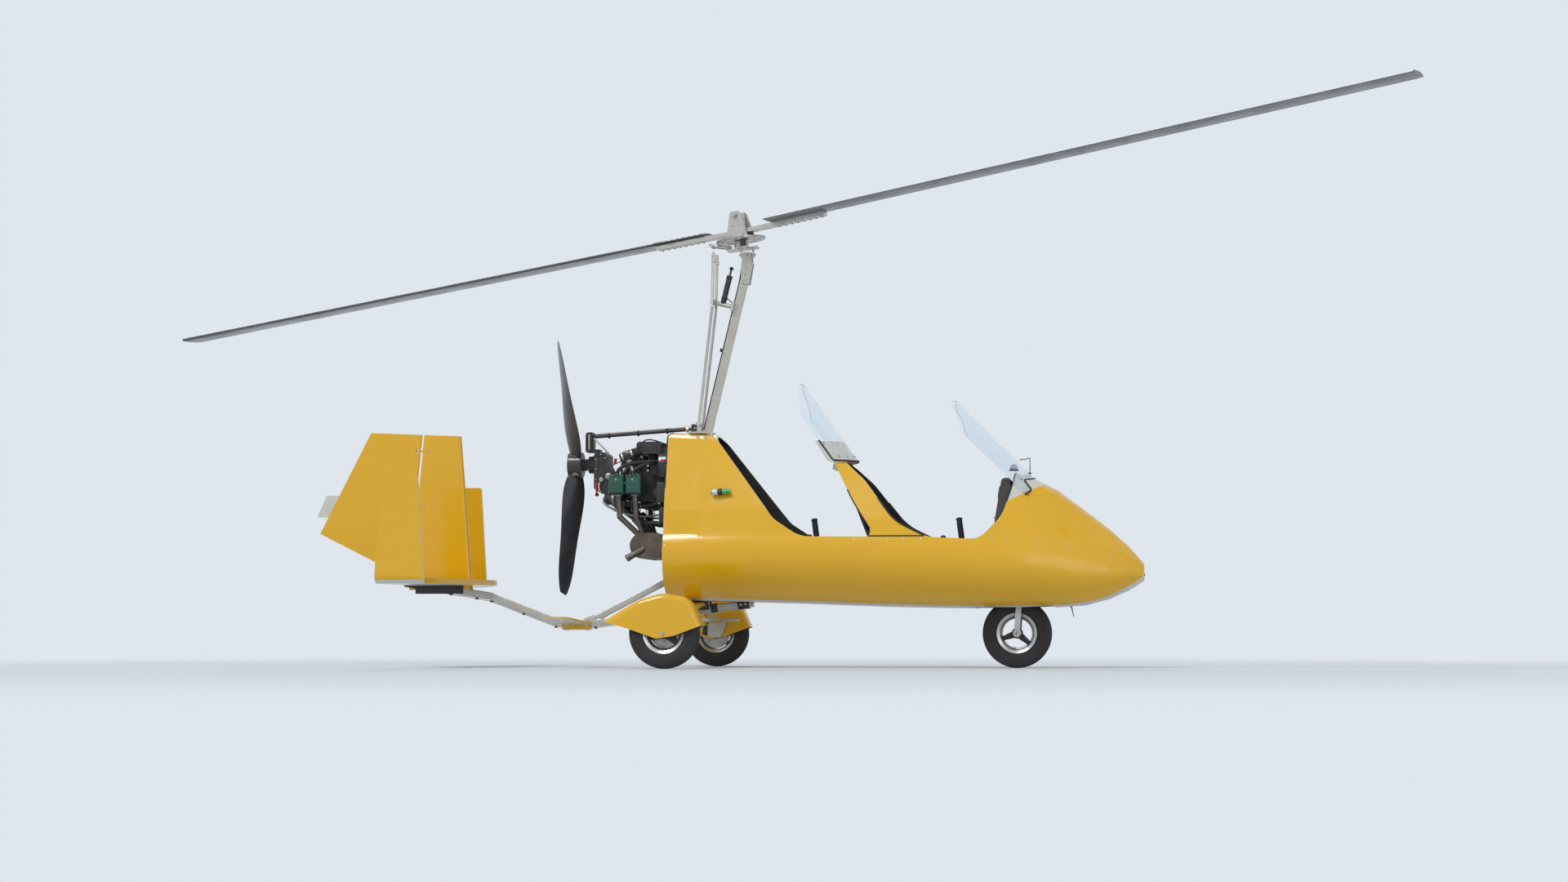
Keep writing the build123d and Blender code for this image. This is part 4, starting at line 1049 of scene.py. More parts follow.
WHEELS = (
    ("main_right", (MAIN_AXLE_X, -HALF_TRACK, TYRE_R), "main_wheel_right", 1),
    ("main_left", (MAIN_AXLE_X, HALF_TRACK, TYRE_R), "main_wheel_left", -1),
    ("nose", (NOSE_AXLE_X, 0.0, TYRE_R), "nose_wheel", 0),
)
for name, centre, body, inboard in WHEELS:
    centre = Vector(centre)
    tread = bmesh.new()
    profile = [*HALF_TYRE, *((radius, -y) for radius, y in reversed(HALF_TYRE[:-1]))]
    lathe(tread, [*profile, profile[0]], centre, (0, 1, 0), 96)
    for sign in (-1, 1):
        for nub in range(40):
            angle = math.tau * nub / 40
            spoke = Matrix.Rotation(angle, 4, "Y") @ Matrix.Translation((0.1655, sign * 0.0484, 0))
            brick(tread, (0.007, 0.0016, 0.0016), soft=0, frame_of=Matrix.Translation(centre) @ spoke)
    tyre = fit(f"ribbed_tyre_{name}", tread, rubber, body, 40)
    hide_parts(f"tyre_{name}")
    ring = bmesh.new()
    half_ring = [*HALF_RIM, (0.0905, 0.0), *((radius, -y) for radius, y in reversed(HALF_RIM))]
    inside_ring = [(radius - 0.0035, y * 0.97) for radius, y in half_ring]
    lathe(ring, [*half_ring, *reversed(inside_ring), half_ring[0]], centre, (0, 1, 0), 72)
    for across, rise in circle(12, 0.0985):
        for sign in (-1, 1):
            bolt(ring, centre + Vector((across, sign * 0.0225, rise)), (0, sign, 0), 0.004, nut=sign > 0)
    rim = fit(f"rim_ring_{name}", ring, rim_silver, body)
    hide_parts(f"rim_{name}")
    spider = bmesh.new()
    for index in range(3):
        turned = Matrix.Translation(centre) @ Matrix.Rotation(math.radians(index * 120 + 40), 4, "Y")
        place = turned @ Matrix.Translation((0.061, 0, 0)) @ Matrix.Diagonal((0.070, 0.026, 0.034, 1))
        arm = bmesh.ops.create_cube(spider, size=1, matrix=place)
        for vert in arm["verts"]:
            local = turned.inverted() @ vert.co
            if local.x > 0.061:
                vert.co = turned @ Vector((local.x, local.y * 0.72, local.z * 0.72))
            else:
                vert.co = turned @ Vector((local.x, local.y * 1.15, local.z * 1.2))
        softened(spider, dict.fromkeys(edge for vert in arm["verts"] for edge in vert.link_edges), 0.004)
        for sign in (-1, 1):
            brick(spider, (0.044, 0.004, 0.012), (0.064, sign * 0.0125, 0), frame_of=turned)
    lathe(
        spider,
        (
            (0.0135, -0.038), (0.030, -0.038), (0.032, -0.035), (0.032, 0.035), (0.030, 0.038),
            (0.0135, 0.038), (0.0135, -0.038),
        ),
        centre, (0, 1, 0), 40,
    )
    fit(f"rim_spider_{name}", spider, spider_black, body)
    cap = bmesh.new()
    for sign in ((-1, 1) if inboard == 0 else (-inboard,)):
        profile = (
            (0.0125, 0), (0.0235, 0), (0.0245, 0.002), (0.0235, 0.0045), (0.018, 0.0060), (0.0128, 0.0062),
            (0.0125, 0),
        )
        lathe(cap, profile, centre + Vector((0, sign * 0.038, 0)), (0, sign, 0), 32)
    valve = Matrix.Rotation(math.radians(100), 4, "Y")
    stem = centre + valve @ Vector((0.094, 0, 0))
    outward = Vector((0, -inboard or -1, 0))
    bar(
        cap, stem + outward * 0.012, stem + valve @ Vector((-0.012, 0, 0)) + outward * 0.034, 0.004, 0.003,
        12,
    )
    fit(f"hub_caps_{name}", cap, plated, body)
    if inboard:
        disc = bmesh.new()
        face = centre + Vector((0, inboard * 0.0300, 0))
        lathe(
            disc, ((0.052, 0), (0.088, 0), (0.0885, 0.002), (0.088, 0.004), (0.052, 0.004), (0.052, 0)),
            face, (0, inboard, 0), 64,
        )
        lathe(
            disc, ((0.030, 0.001), (0.054, 0.001), (0.054, 0.003), (0.030, 0.003), (0.030, 0.001)), face,
            (0, inboard, 0), 48,
        )
        for across, rise in circle(6, 0.044):
            bolt(disc, face + Vector((across, inboard * 0.003, rise)), (0, inboard, 0), 0.004, nut=False)
        fit(f"brake_disc_{name}", disc, disc_steel, body)

# Nose leg and its well: a bright fork with a bored crown, a steering horn and push rods that run up into the
# well; the axle is hollow for a tow bar pin, so its nuts are rings.
steel = finish(
    "satin stainless tube", (0.52, 0.50, 0.45), 0.36, (0.33, 0.30, 0.25), metal=0.8, patch=9, amount=0.4,
    bump=0.04, grain=500,
)
aluminium = finish(
    "pale machined aluminium", (0.58, 0.56, 0.52), 0.34, (0.36, 0.34, 0.30), metal=0.85, patch=14,
    amount=0.4, bump=0.05, grain=700,
)
coated("nose_fork", aluminium)
coated("steering_tube", steel)
NOSE_AXLE = Vector((NOSE_AXLE_X, 0, TYRE_R))
fork_bits = bmesh.new()
for sign in (-1, 1):
    ring = ((0.0065, 0), (0.0165, 0), (0.0172, 0.0008), (0.0165, 0.0018), (0.0065, 0.0018), (0.0065, 0))
    lathe(fork_bits, ring, NOSE_AXLE + Vector((0, sign * 0.074, 0)), (0, sign, 0))
    nut = ((0.0066, 0), (0.0140, 0), (0.0140, 0.005), (0.0125, 0.0065), (0.0066, 0.0065), (0.0066, 0))
    lathe(fork_bits, nut, NOSE_AXLE + Vector((0, sign * 0.0758, 0)), (0, sign, 0), 6)
    spacer = ((0.0125, 0), (0.017, 0), (0.017, 0.013), (0.0125, 0.013), (0.0125, 0))
    lathe(fork_bits, spacer, NOSE_AXLE + Vector((0, sign * 0.0455, 0)), (0, sign, 0), 20)
    for x in (1.688, 1.706):
        bolt(fork_bits, (x, sign * 0.074, 0.441), (0, sign, 0), 0.004, nut=False)
lathe(
    fork_bits, ((0.0155, 0), (0.026, 0), (0.027, 0.003), (0.024, 0.009), (0.0155, 0.010), (0.0155, 0)),
    (1.700, 0, 0.450), (0, 0, 1), 28,
)
fit("nose_fork_fittings", fork_bits, plated, "steering")

# Main gear: one yellow sprung bow in black clamp blocks under the keel. Plates with stub axles are bolted to
# its ends; black brake calipers sit on the plates, fed by thin hoses clipped along the bow's rear edge.
black_metal = finish(
    "black painted metal", (0.02, 0.02, 0.022), 0.38, (0.06, 0.055, 0.05), patch=12, amount=0.4, bump=0.05,
)
for name, material in (("gear_bow", yellow), ("axle_plate_left", steel), ("axle_plate_right", steel)):
    coated(name, material)
clamps = bmesh.new()
bow_bits = bmesh.new()
pipes = bmesh.new()
BOW_LINE = (
    (0.090, -0.298, 0.380), (0.260, -0.296, 0.358), (0.420, -0.291, 0.336), (0.600, -0.290, 0.312),
    (0.745, -0.288, 0.290),
)
for sign in (-1, 1):
    brick(clamps, (0.150, 0.030, 0.066), (-0.245, sign * 0.055, 0.379), soft=0.004)
    for x in (-0.312, -0.178):
        bolt(bow_bits, (x, sign * 0.055, 0.3455), (0, 0, -1), 0.008)
        lathe(bow_bits, ((0.013, 0), (0.013, 0.003), (0, 0.003)), (x, sign * 0.055, 0.412), (0, 0, 1), 16)
    caliper_y = sign * (HALF_TRACK - 0.032)
    brick(clamps, (0.052, 0.036, 0.046), (-0.372, caliper_y, 0.232), (0, 18, 0), soft=0.004)
    brick(clamps, (0.040, 0.006, 0.060), (-0.338, sign * 0.7785, 0.226), (0, 8, 0), soft=0.002)
    for z in (0.218, 0.248):
        bolt(bow_bits, (-0.374, caliper_y - sign * 0.018, z), (0, -sign, 0), 0.004, nut=False)
    line = [(x, sign * y, z) for y, x, z in BOW_LINE]
    hose(pipes, [*line, (-0.330, sign * 0.775, 0.268), (-0.366, sign * 0.802, 0.256)], 0.0028, sides=8)
    for y, x, z in BOW_LINE[1:4]:
        brick(bow_bits, (0.010, 0.008, 0.012), (x + 0.003, sign * y, z), soft=0.0012)
    for x, z in ((-0.290, 0.290), (-0.238, 0.290), (-0.262, 0.272)):
        bolt(bow_bits, (x, sign * 0.775, z), (0, sign, 0), 0.006)
    lathe(
        bow_bits, ((0.0125, 0), (0.021, 0), (0.021, 0.003), (0.0125, 0.003)),
        (MAIN_AXLE_X, sign * 0.8885, TYRE_R), (0, sign, 0),
    )
fit("gear_clamps", clamps, black_metal, "airframe")
fit("gear_fittings", bow_bits, plated, "airframe")
fit("brake_pipes", pipes, soft_rubber, "airframe")

# Mudguards: thin yellow shells of glass fibre, black inside, one over each main wheel. Each is bolted to a
# straight stay on the axle plate's side and to the axle's outer end.
for side, sign in (("left", 1), ("right", -1)):
    node = coated(f"mudguard_{side}", yellow, 40)
    node.data.materials.append(tub_inside)
    heart = Vector((-0.330, sign * 0.8495, 0.300))
    for face in node.data.polygons:
        if face.normal.dot(heart - face.center) > 0.004:
            face.material_index = 1
    guard_bits = bmesh.new()
    bolt(guard_bits, (MAIN_AXLE_X, sign * 0.9225, TYRE_R), (0, sign, 0), 0.009)
    for x, z in ((-0.445, 0.288), (-0.128, 0.300)):
        bolt(guard_bits, (x, sign * 0.9195, z), (0, sign, 0), 0.004, nut=False)
        bolt(guard_bits, (x, sign * 0.7795, z), (0, -sign, 0), 0.004)
    brick(guard_bits, (0.330, 0.003, 0.022), (-0.286, sign * 0.7772, 0.292), soft=0.001)
    fit(f"mudguard_fittings_{side}", guard_bits, plated, "airframe")

# Keel: square stainless tube bent twice under the tail, with a brace, black saddles and worn clamps.
# Two bare rudder cables run below it from the footwell to the rudder's horn through small guides.


def facing_down(tree, spot):
    """Mask: one on the undersides."""
    parts = node_in(tree, "SeparateXYZ", {"Vector": spot["Normal"]}).outputs
    under = node_in(tree, "MapRange", {"From Min": -0.5, "From Max": -0.62, "Value": parts["Z"]})
    return under.outputs["Result"]


# Off-white on the undersides: the stabiliser's own pale underside, and on the keel winglets a painted
# reflection of the pale floor over their yellow undersides.
pale_underside_and_winglet_reflection = two_toned("yellow gelcoat with pale underside and painted reflection", facing_down)
coated("keel_frame", steel)
# The winglets' pale undersides are a painted reflection, not their paint.
coated("keel_winglets", pale_underside_and_winglet_reflection, 25)
keel_clamps = bmesh.new()
BENDS = ((0.095, 0.386), (-0.890, 0.264), (-1.090, 0.264), (-1.530, 0.432), (-2.066, 0.517))
KEEL = [Vector((x, 0, z)) for x, z in BENDS]
HALF_KEEL = 0.022


def on_keel(run, share, drop=0.0, y=0.0):
    """Point on one run of the keel, square below its middle line, and the run's lean in degrees."""
    start, end = KEEL[run], KEEL[run + 1]
    along = (end - start).normalized()
    below = Vector((along.z, 0, -along.x))
    if below.z > 0:
        below.negate()
    lean = math.degrees(math.atan2(along.z, -along.x))
    return start.lerp(end, share) + below * drop + Vector((0, y, 0)), lean


SADDLES = ((0, 0.06, 0.070), (0, 0.24, 0.040), (1, 0.5, 0.012), (3, 0.86, 0.150), (3, 0.97, 0.028))
for run, share, size in SADDLES:
    place, lean = on_keel(run, share)
    brick(keel_clamps, (size, 0.056, 0.054), place, (0, lean, 0), soft=0.004)
fit("keel_clamps", keel_clamps, black_metal, "airframe")
keel_bolts = bmesh.new()
for run, share in ((0, 0.045), (0, 0.075), (3, 0.80), (3, 0.86), (3, 0.92)):
    for sign in (-1, 1):
        bolt(keel_bolts, on_keel(run, share, y=sign * 0.028)[0], (0, sign, 0), 0.006)
for sign in (-1, 1):
    for x in (-1.050, -0.925):
        bolt(keel_bolts, (x, sign * 0.0385, 0.258), (0, sign, 0))
        bolt(keel_bolts, (x, sign * 0.030, 0.2265), (0, 0, -1), nut=False)
brace_foot = Vector((-0.905, 0, 0.278))
for sign in (-1, 1):
    brick(
        keel_bolts, (0.070, 0.003, 0.050), brace_foot + Vector((0, sign * 0.0235, 0.004)), (0, -20, 0),
        soft=0.001,
    )
    bolt(keel_bolts, brace_foot + Vector((-0.012, sign * 0.025, 0.006)), (0, sign, 0))
    bolt(keel_bolts, brace_foot + Vector((0.018, sign * 0.025, 0.014)), (0, sign, 0))
fit("keel_fittings", keel_bolts, plated, "airframe")
cables = bmesh.new()
guides = bmesh.new()
for sign in (-1, 1):
    route = [on_keel(0, 0.02, HALF_KEEL + 0.006, sign * 0.017)[0]]
    for run, share in (
        (0, 0.35), (0, 0.70), (0, 0.985), (1, 0.5), (2, 0.04), (2, 0.5), (2, 0.96), (3, 0.15), (3, 0.45),
        (3, 0.70),
    ):
        place, lean = on_keel(run, share, HALF_KEEL + 0.006, sign * 0.017)
        route.append(place)
        if run != 1:
            brick(guides, (0.012, 0.010, 0.010), place, (0, lean, 0))
    hose(cables, route, 0.0018, sides=6, smooth=1)
fit("rudder_cables", cables, plated, "airframe")
fit("cable_guides", guides, soft_rubber, "airframe")

# Tail: yellow moulded fin and a U of stabiliser and end plates with pale undersides. The rudder hangs on
# three bolted lugs and has a white trim tab and a horn; black brackets bolt the stabiliser to the keel.
coated("fin", yellow, 25)
coated("rudder", yellow, 25)
coated("stabiliser", pale_underside_and_winglet_reflection, 25)
coated("trim_tab", pale_gelcoat)
tail_bits = bmesh.new()
HINGE_LOW = Vector((-2.062, 0, 0.540))
HINGE_HIGH = Vector((-1.975, 0, 1.440))
hinge_axis = (HINGE_HIGH - HINGE_LOW).normalized()
for z in (0.640, 0.980, 1.320):
    place = HINGE_LOW + hinge_axis * ((z - HINGE_LOW.z) / hinge_axis.z)
    bolt(tail_bits, place + hinge_axis * 0.0085, hinge_axis, 0.006, nut=False)
    bolt(tail_bits, place - hinge_axis * 0.0085, -hinge_axis, 0.006)
    for sign in (-1, 1):
        for back in (0.050, 0.072):
            screw(tail_bits, place + Vector((back, sign * 0.0226, 0)), (0, sign, 0), 0.004)
for y in (-0.60, -0.40, -0.20, 0.20, 0.40, 0.60):
    screw(tail_bits, (-1.900, y, 0.5285), (0, 0, 1))
    screw(tail_bits, (-1.900, y, 0.4955), (0, 0, -1))
for sign in (-1, 1):
    for x in (-1.620, -1.720, -1.820, -1.920, -1.990):
        bolt(tail_bits, (x, sign * 0.040, 0.5285), (0, 0, 1), 0.006)
fit("tail_fittings", tail_bits, plated, "airframe")
brackets = bmesh.new()
for sign in (-1, 1):
    brick(brackets, (0.330, 0.024, 0.004), (-1.830, sign * 0.040, 0.5300), soft=0.001)
    brick(brackets, (0.300, 0.004, 0.050), (-1.845, sign * 0.0265, 0.4720), soft=0.001)
fit("tail_brackets", brackets, black_metal, "airframe")
rudder_bits = bmesh.new()
horn_place = HINGE_LOW + hinge_axis * 0.044
for sign in (-1, 1):
    brick(rudder_bits, (0.030, 0.052, 0.004), horn_place + Vector((-0.024, sign * 0.030, 0)), soft=0.001)
    bolt(rudder_bits, horn_place + Vector((-0.022, sign * 0.046, 0.002)), (0, 0, 1), 0.004)
    for index in range(5):
        place = Vector((-2.488, 0, 1.040)).lerp(Vector((-2.545, 0, 0.932)), index / 4)
        screw(rudder_bits, place + Vector((0, sign * 0.0022, 0)), (0, sign, 0), 0.003)
fit("rudder_fittings", rudder_bits, plated, "rudder")

# Mast: a satin rectangular tube with two cheek plates for the head's pin. It carries a loom in clamps on its
# rear face, the arm with the black trim cylinder, and two bright control rods with rod ends.
coated("mast", steel)
coated("trim_cylinder", black_metal)
for name in ("mast_arm", "control_rod_left", "control_rod_right"):
    coated(name, aluminium)
PIVOT = Vector((0.056, 0, 2.492))
MAST_FOOT = Vector((-0.200, 0, 1.350))
MAST_TOP = Vector((0.067, 0, 2.452))
up_mast = (MAST_TOP - MAST_FOOT).normalized()
ahead_of_mast = Vector((up_mast.z, 0, -up_mast.x))
MAST_LEAN = math.degrees(math.atan2(up_mast.x, up_mast.z))


def on_mast(height, ahead=0.0, y=0.0):
    """Point on the mast's middle line at a height, moved square to it towards the nose."""
    middle = MAST_FOOT + up_mast * ((height - MAST_FOOT.z) / up_mast.z)
    return middle + ahead_of_mast * ahead + Vector((0, y, 0))


mast_bits = bmesh.new()
for x in (-0.282, -0.170):
    for y in (-0.062, 0.062):
        bolt(mast_bits, (x, y, 1.4185), (0, 0, 1), 0.007)
for sign in (-1, 1):
    for height in (2.335, 2.372, 2.412):
        bolt(mast_bits, on_mast(height, -0.004, sign * 0.0292), (0, sign, 0), 0.007)
    bolt(mast_bits, PIVOT + Vector((0, sign * 0.0405, 0)), (0, sign, 0), 0.008)
    bolt(mast_bits, on_mast(2.176, -0.040, sign * 0.040), (-up_mast.z, 0, up_mast.x), nut=False)
for height in (1.62, 1.90, 2.10, 2.30):
    brick(mast_bits, (0.049, 0.045, 0.009), on_mast(height), (0, MAST_LEAN, 0), soft=0.001)
    brick(mast_bits, (0.010, 0.010, 0.012), on_mast(height, 0.0, 0.027), (0, MAST_LEAN, 0), soft=0.001)
for sign in (-1, 1):
    for z, lift in ((2.505, -1), (1.416, 1)):
        x = -0.142 if z > 2 else -0.234
        end = Vector((x, sign * 0.066, z))
        lathe(
            mast_bits, ((0.0095, 0), (0.0115, 0), (0.0115, 0.008), (0.0095, 0.008)),
            end + Vector((0, 0, lift * 0.020)), (0, 0, lift), 6,
        )
        lathe(
            mast_bits, ((0.0095, 0), (0.0125, 0.002), (0.0125, 0.022), (0.0095, 0.026)),
            end + Vector((0, 0, lift * 0.036)), (0, 0, lift), 18,
        )
    bolt(mast_bits, (-0.150, sign * 0.0765, 2.165), (0, sign, 0), 0.006)
fit("mast_fittings", mast_bits, plated, "airframe")
loom = bmesh.new()
for y, ahead, thick in ((-0.012, -0.0275, 0.0042), (0.000, -0.0280, 0.0048), (0.012, -0.0270, 0.0036)):
    line = [on_mast(height, ahead, y) for height in (1.425, 1.62, 1.90, 2.10, 2.20, 2.32)]
    hose(loom, [*line, on_mast(2.40, ahead - 0.006, y * 1.4)], thick, sides=8)
BRANCH = ((2.18, -0.030, 0.014), (2.20, -0.060, 0.030), (2.215, -0.088, 0.024), (2.22, -0.094, 0.010))
hose(loom, [on_mast(*place) for place in BRANCH], 0.003, sides=8)
brick(loom, (0.018, 0.052, 0.020), on_mast(1.905, -0.034), (0, MAST_LEAN, 0), soft=0.003)
lathe(
    loom, ((0, 0), (0.009, 0.001), (0.012, 0.006), (0.012, 0.016), (0.008, 0.020), (0, 0.021)),
    on_mast(2.378, -0.096), up_mast, 20,
)
lathe(
    loom, ((0.0172, 0), (0.0185, 0.002), (0.0185, 0.014), (0.0172, 0.016)), on_mast(2.200, -0.096), up_mast,
)
lathe(
    loom, ((0.0172, 0), (0.0185, 0.002), (0.0185, 0.010), (0.0172, 0.012)), on_mast(2.325, -0.096), up_mast,
)
fit("mast_loom", loom, soft_rubber, "airframe")

# Rotor head: pale machined bearing, ring gear with 120 teeth, two tower plates and the teeter bolt with its
# nuts. The pre-rotator's pinion in a black housing stands beside the ring gear on the bridge.
joint_axes = {joint["name"]: Vector(joint["axis"]).normalized() for joint in frame["joints"]}
TEETER = Vector((0, 0, 2.730))
spin_up = joint_axes["rotor_spin"]
across_head = joint_axes["rotor_teeter"]
ahead_head = across_head.cross(spin_up)
rotor_frame = Matrix.Translation(TEETER) @ Matrix((ahead_head, across_head, spin_up)).transposed().to_4x4()
for name in ("hub_bar", "rotor_hub", "gimbal_block", "head_bridge"):
    coated(name, aluminium)
GEAR_Z = -0.147
hub_bits = bmesh.new()
for tooth in range(120):
    turned = rotor_frame @ Matrix.Rotation(math.tau * tooth / 120, 4, "Z")
    brick(hub_bits, (0.006, 0.0042, 0.010), (0.1465, 0, GEAR_Z), soft=0, frame_of=turned)
for index in range(8):
    turned = rotor_frame @ Matrix.Rotation(math.tau * index / 8, 4, "Z")
    bolt(hub_bits, turned @ Vector((0.046, 0, -0.1280)), spin_up, 0.004, nut=False)
for sign in (-1, 1):
    out = across_head * sign
    bolt(hub_bits, rotor_frame @ Vector((0, sign * 0.0622, 0)), out, 0.013)
    for x, z in ((-0.045, -0.118), (0.045, -0.118), (-0.022, -0.060), (0.022, -0.060)):
        bolt(hub_bits, rotor_frame @ Vector((x, sign * 0.0522, z)), out, nut=False)
fit("ring_gear_and_bolts", hub_bits, plated, "rotor_hub")
head_bits = bmesh.new()
bearing_low = rotor_frame @ Vector((0, 0, -0.2035))
lathe(
    head_bits, ((0.030, 0), (0.0455, 0.001), (0.047, 0.004), (0.047, 0.010), (0.0445, 0.011)), bearing_low,
    spin_up, 40,
)
for sign in (-1, 1):
    for x in (-0.070, 0.058):
        bolt(head_bits, PIVOT + Vector((x, sign * 0.026, 0.0435 + x * 0.11)), (-0.108, 0, 0.994), 0.006)
    bolt(head_bits, PIVOT + Vector((sign * 0.0425, 0, 0)), (sign, 0, 0), 0.008)
    band(head_bits, 0.0102, 0.0135, 0.008, PIVOT + Vector((-0.216, sign * 0.046, 0.059)), (0, sign, 0), 18)
fit("head_bolts", head_bits, plated, "head")
spinner = bmesh.new()
PINION = Matrix.Translation((0.08692, -0.15158, GEAR_Z))
motor = rotor_frame @ PINION @ Vector((0, 0, -0.064))
lathe(
    spinner,
    (
        (0, 0), (0.016, 0.001), (0.019, 0.006), (0.019, 0.034), (0.022, 0.036), (0.022, 0.043),
        (0.006, 0.045), (0.006, 0.050), (0, 0.050),
    ),
    motor, spin_up, 28,
)
brick(
    spinner, (0.100, 0.022, 0.010), (0.05084, -0.0858, GEAR_Z - 0.030), (0, 0, -60), soft=0.002,
    frame_of=rotor_frame,
)
fit("prerotator_pinion", spinner, black_metal, "head")
pinion_gear = bmesh.new()
for tooth in range(11):
    turned = rotor_frame @ PINION @ Matrix.Rotation(math.tau * tooth / 11, 4, "Z")
    brick(pinion_gear, (0.004, 0.0035, 0.012), (0.0085, 0, -0.006), soft=0, frame_of=turned)
pinion_axis = rotor_frame @ PINION @ Vector((0, 0, -0.014))
lathe(pinion_gear, ((0, 0), (0.0075, 0), (0.0075, 0.013), (0, 0.013)), pinion_axis, spin_up, 18)
fit("pinion_gear", pinion_gear, plated, "head")

# Rotor: an extruded black blade on each end of the pale hub bar, clamped by two rows of eight bolts. A steel
# strip wears the leading edge, and each tip is closed by a black cap with a small balance screw.
blade_black = finish(
    "black composite", (0.026, 0.027, 0.030), 0.3, (0.055, 0.056, 0.058), patch=5, amount=0.4, coat=0.3,
)
worn_strip = finish(
    "worn leading edge", (0.30, 0.30, 0.30), 0.34, (0.12, 0.12, 0.12), metal=0.85, patch=3, amount=0.7,
)
rest_tilt = rotor_frame @ Matrix.Rotation(math.radians(-1.3), 4, "Y") @ Matrix.Translation((0, 0, -0.100))
CONE = math.radians(0.6)
BLADE_TIP = 4.200
STRIP_LINE = (
    (0.034, 0.0337), (0.044, 0.0306), (0.0496, 0.0247), (0.0503, 0.0227), (0.0496, 0.0207), (0.044, 0.0149),
    (0.036, 0.0141),
)
blade_bits = bmesh.new()
strips = bmesh.new()
caps = bmesh.new()
for name, turn in (("fore", 0.0), ("aft", math.pi)):
    coated(f"rotor_blade_{name}", blade_black, 40)
    blade_frame = rest_tilt @ Matrix.Rotation(turn, 4, "Z") @ Matrix.Rotation(-CONE, 4, "Y")
    up_blade = (blade_frame.to_3x3() @ Vector((0, 0, 1))).normalized()
    for index in range(8):
        x = 0.262 + index * 0.041
        for y in (-0.018, 0.018):
            bolt(blade_bits, blade_frame @ Vector((x, y, -0.0125)), -up_blade, 0.006)
            top_z = 0.0375 if y > 0 else 0.0372
            lathe(
                blade_bits, ((0, 0.004), (0.006, 0.0035), (0.0075, 0), (0.0075, -0.002)),
                blade_frame @ Vector((x, y, top_z)), up_blade, 12,
            )
    rows = []
    for x in (0.600, 2.40, BLADE_TIP - 0.030):
        rows.append([strips.verts.new(blade_frame @ Vector((x, y, z))) for y, z in STRIP_LINE])
    for first, second in zip(rows, rows[1:]):
        for corner in range(len(STRIP_LINE) - 1):
            strips.faces.new((first[corner], first[corner + 1], second[corner + 1], second[corner]))
    brick(
        caps, (0.006, 0.198, 0.008), (BLADE_TIP - 0.0035, -0.050, 0.0265), soft=0.002, frame_of=blade_frame,
    )
    bolt(caps, blade_frame @ Vector((BLADE_TIP - 0.020, 0.010, 0.0372)), up_blade, 0.004, nut=False)
    brick(blade_bits, (0.060, 0.044, 0.004), (0.562, 0.0, 0.0372), soft=0.001, frame_of=blade_frame)
fit("leading_edge_strips", strips, worn_strip, "rotor", 60)
fit("blade_root_bolts", blade_bits, plated, "rotor")
fit("blade_tip_caps", caps, spider_black, "rotor")

# Propeller: three glossy black blades, plain to their tips, in a brown-grey hub of two plates that nine
# bolts clamp together. A turned cap closes the rear end.
coated("propeller", blade_black, 40)
hub_brown = finish(
    "brown grey hub", (0.14, 0.125, 0.11), 0.42, (0.07, 0.06, 0.05), metal=0.5, patch=18, amount=0.5,
    bump=0.1,
)
PROP = Vector((-0.994, 0, 1.226))
prop_hub = bmesh.new()
for x, depth in ((-0.048, 0.010), (0.030, 0.007)):
    lathe(
        prop_hub,
        (
            (0.016, 0), (0.070, 0), (0.0765, 0.002), (0.0765, depth - 0.002), (0.074, depth),
            (0.016, depth), (0.016, 0),
        ),
        PROP + Vector((x, 0, 0)), (1, 0, 0), 48,
    )
for index in range(3):
    angle = math.radians(36 + 120 * index)
    out = Vector((0, -math.sin(angle), math.cos(angle)))
    lathe(
        prop_hub, ((0.030, 0), (0.034, 0.004), (0.034, 0.030), (0.030, 0.036), (0.024, 0.036), (0.024, 0)),
        PROP + out * 0.052, out, 28,
    )
fit("propeller_hub_plates", prop_hub, hub_brown, "propeller")
prop_bits = bmesh.new()
for index, (across, rise) in enumerate(circle(9, 0.058)):
    bolt(prop_bits, PROP + Vector((-0.048, across, rise)), (-1, 0, 0), 0.006, nut=index % 3 == 0)
lathe(
    prop_bits, ((0.018, 0), (0.034, 0), (0.035, 0.003), (0.032, 0.007), (0.018, 0.008)),
    PROP + Vector((-0.048, 0, 0)), (-1, 0, 0), 30,
)
fit("propeller_bolts", prop_bits, plated, "propeller")

# Engine: a black-painted cast flat four with its gearbox towards the propeller. It carries bolts round the
# gearbox cover, starter, generator, oil filter, coil boxes with plug leads, and green rocker covers.
engine_dark = finish(
    "engine casting", (0.050, 0.049, 0.050), 0.5, (0.022, 0.021, 0.020), metal=0.5, patch=20, amount=0.6,
    bump=0.3, grain=420,
)
cover_green = finish(
    "green covers", (0.006, 0.085, 0.058), 0.3, (0.004, 0.045, 0.034), patch=8, amount=0.5, coat=0.3,
)
cast_silver = finish(
    "cast alloy", (0.36, 0.36, 0.35), 0.44, (0.16, 0.155, 0.15), metal=0.8, patch=24, amount=0.5, bump=0.2,
    grain=420,
)
coated("engine_block", engine_dark)
coated("rocker_covers_left", cover_green)
coated("rocker_covers_right", cover_green)
coated("intake", black_metal)
CYLINDERS = (-0.687, -0.586)
casting = bmesh.new()
alloy = bmesh.new()
nuts = bmesh.new()
rubbers = bmesh.new()
green = bmesh.new()
brick(casting, (0.350, 0.010, 0.010), (-0.605, 0, 1.180), soft=0.002)
for index in range(9):
    bolt(nuts, (-0.765 + 0.040 * index, 0.0, 1.185), (0, 0, 1), 0.004, nut=False)
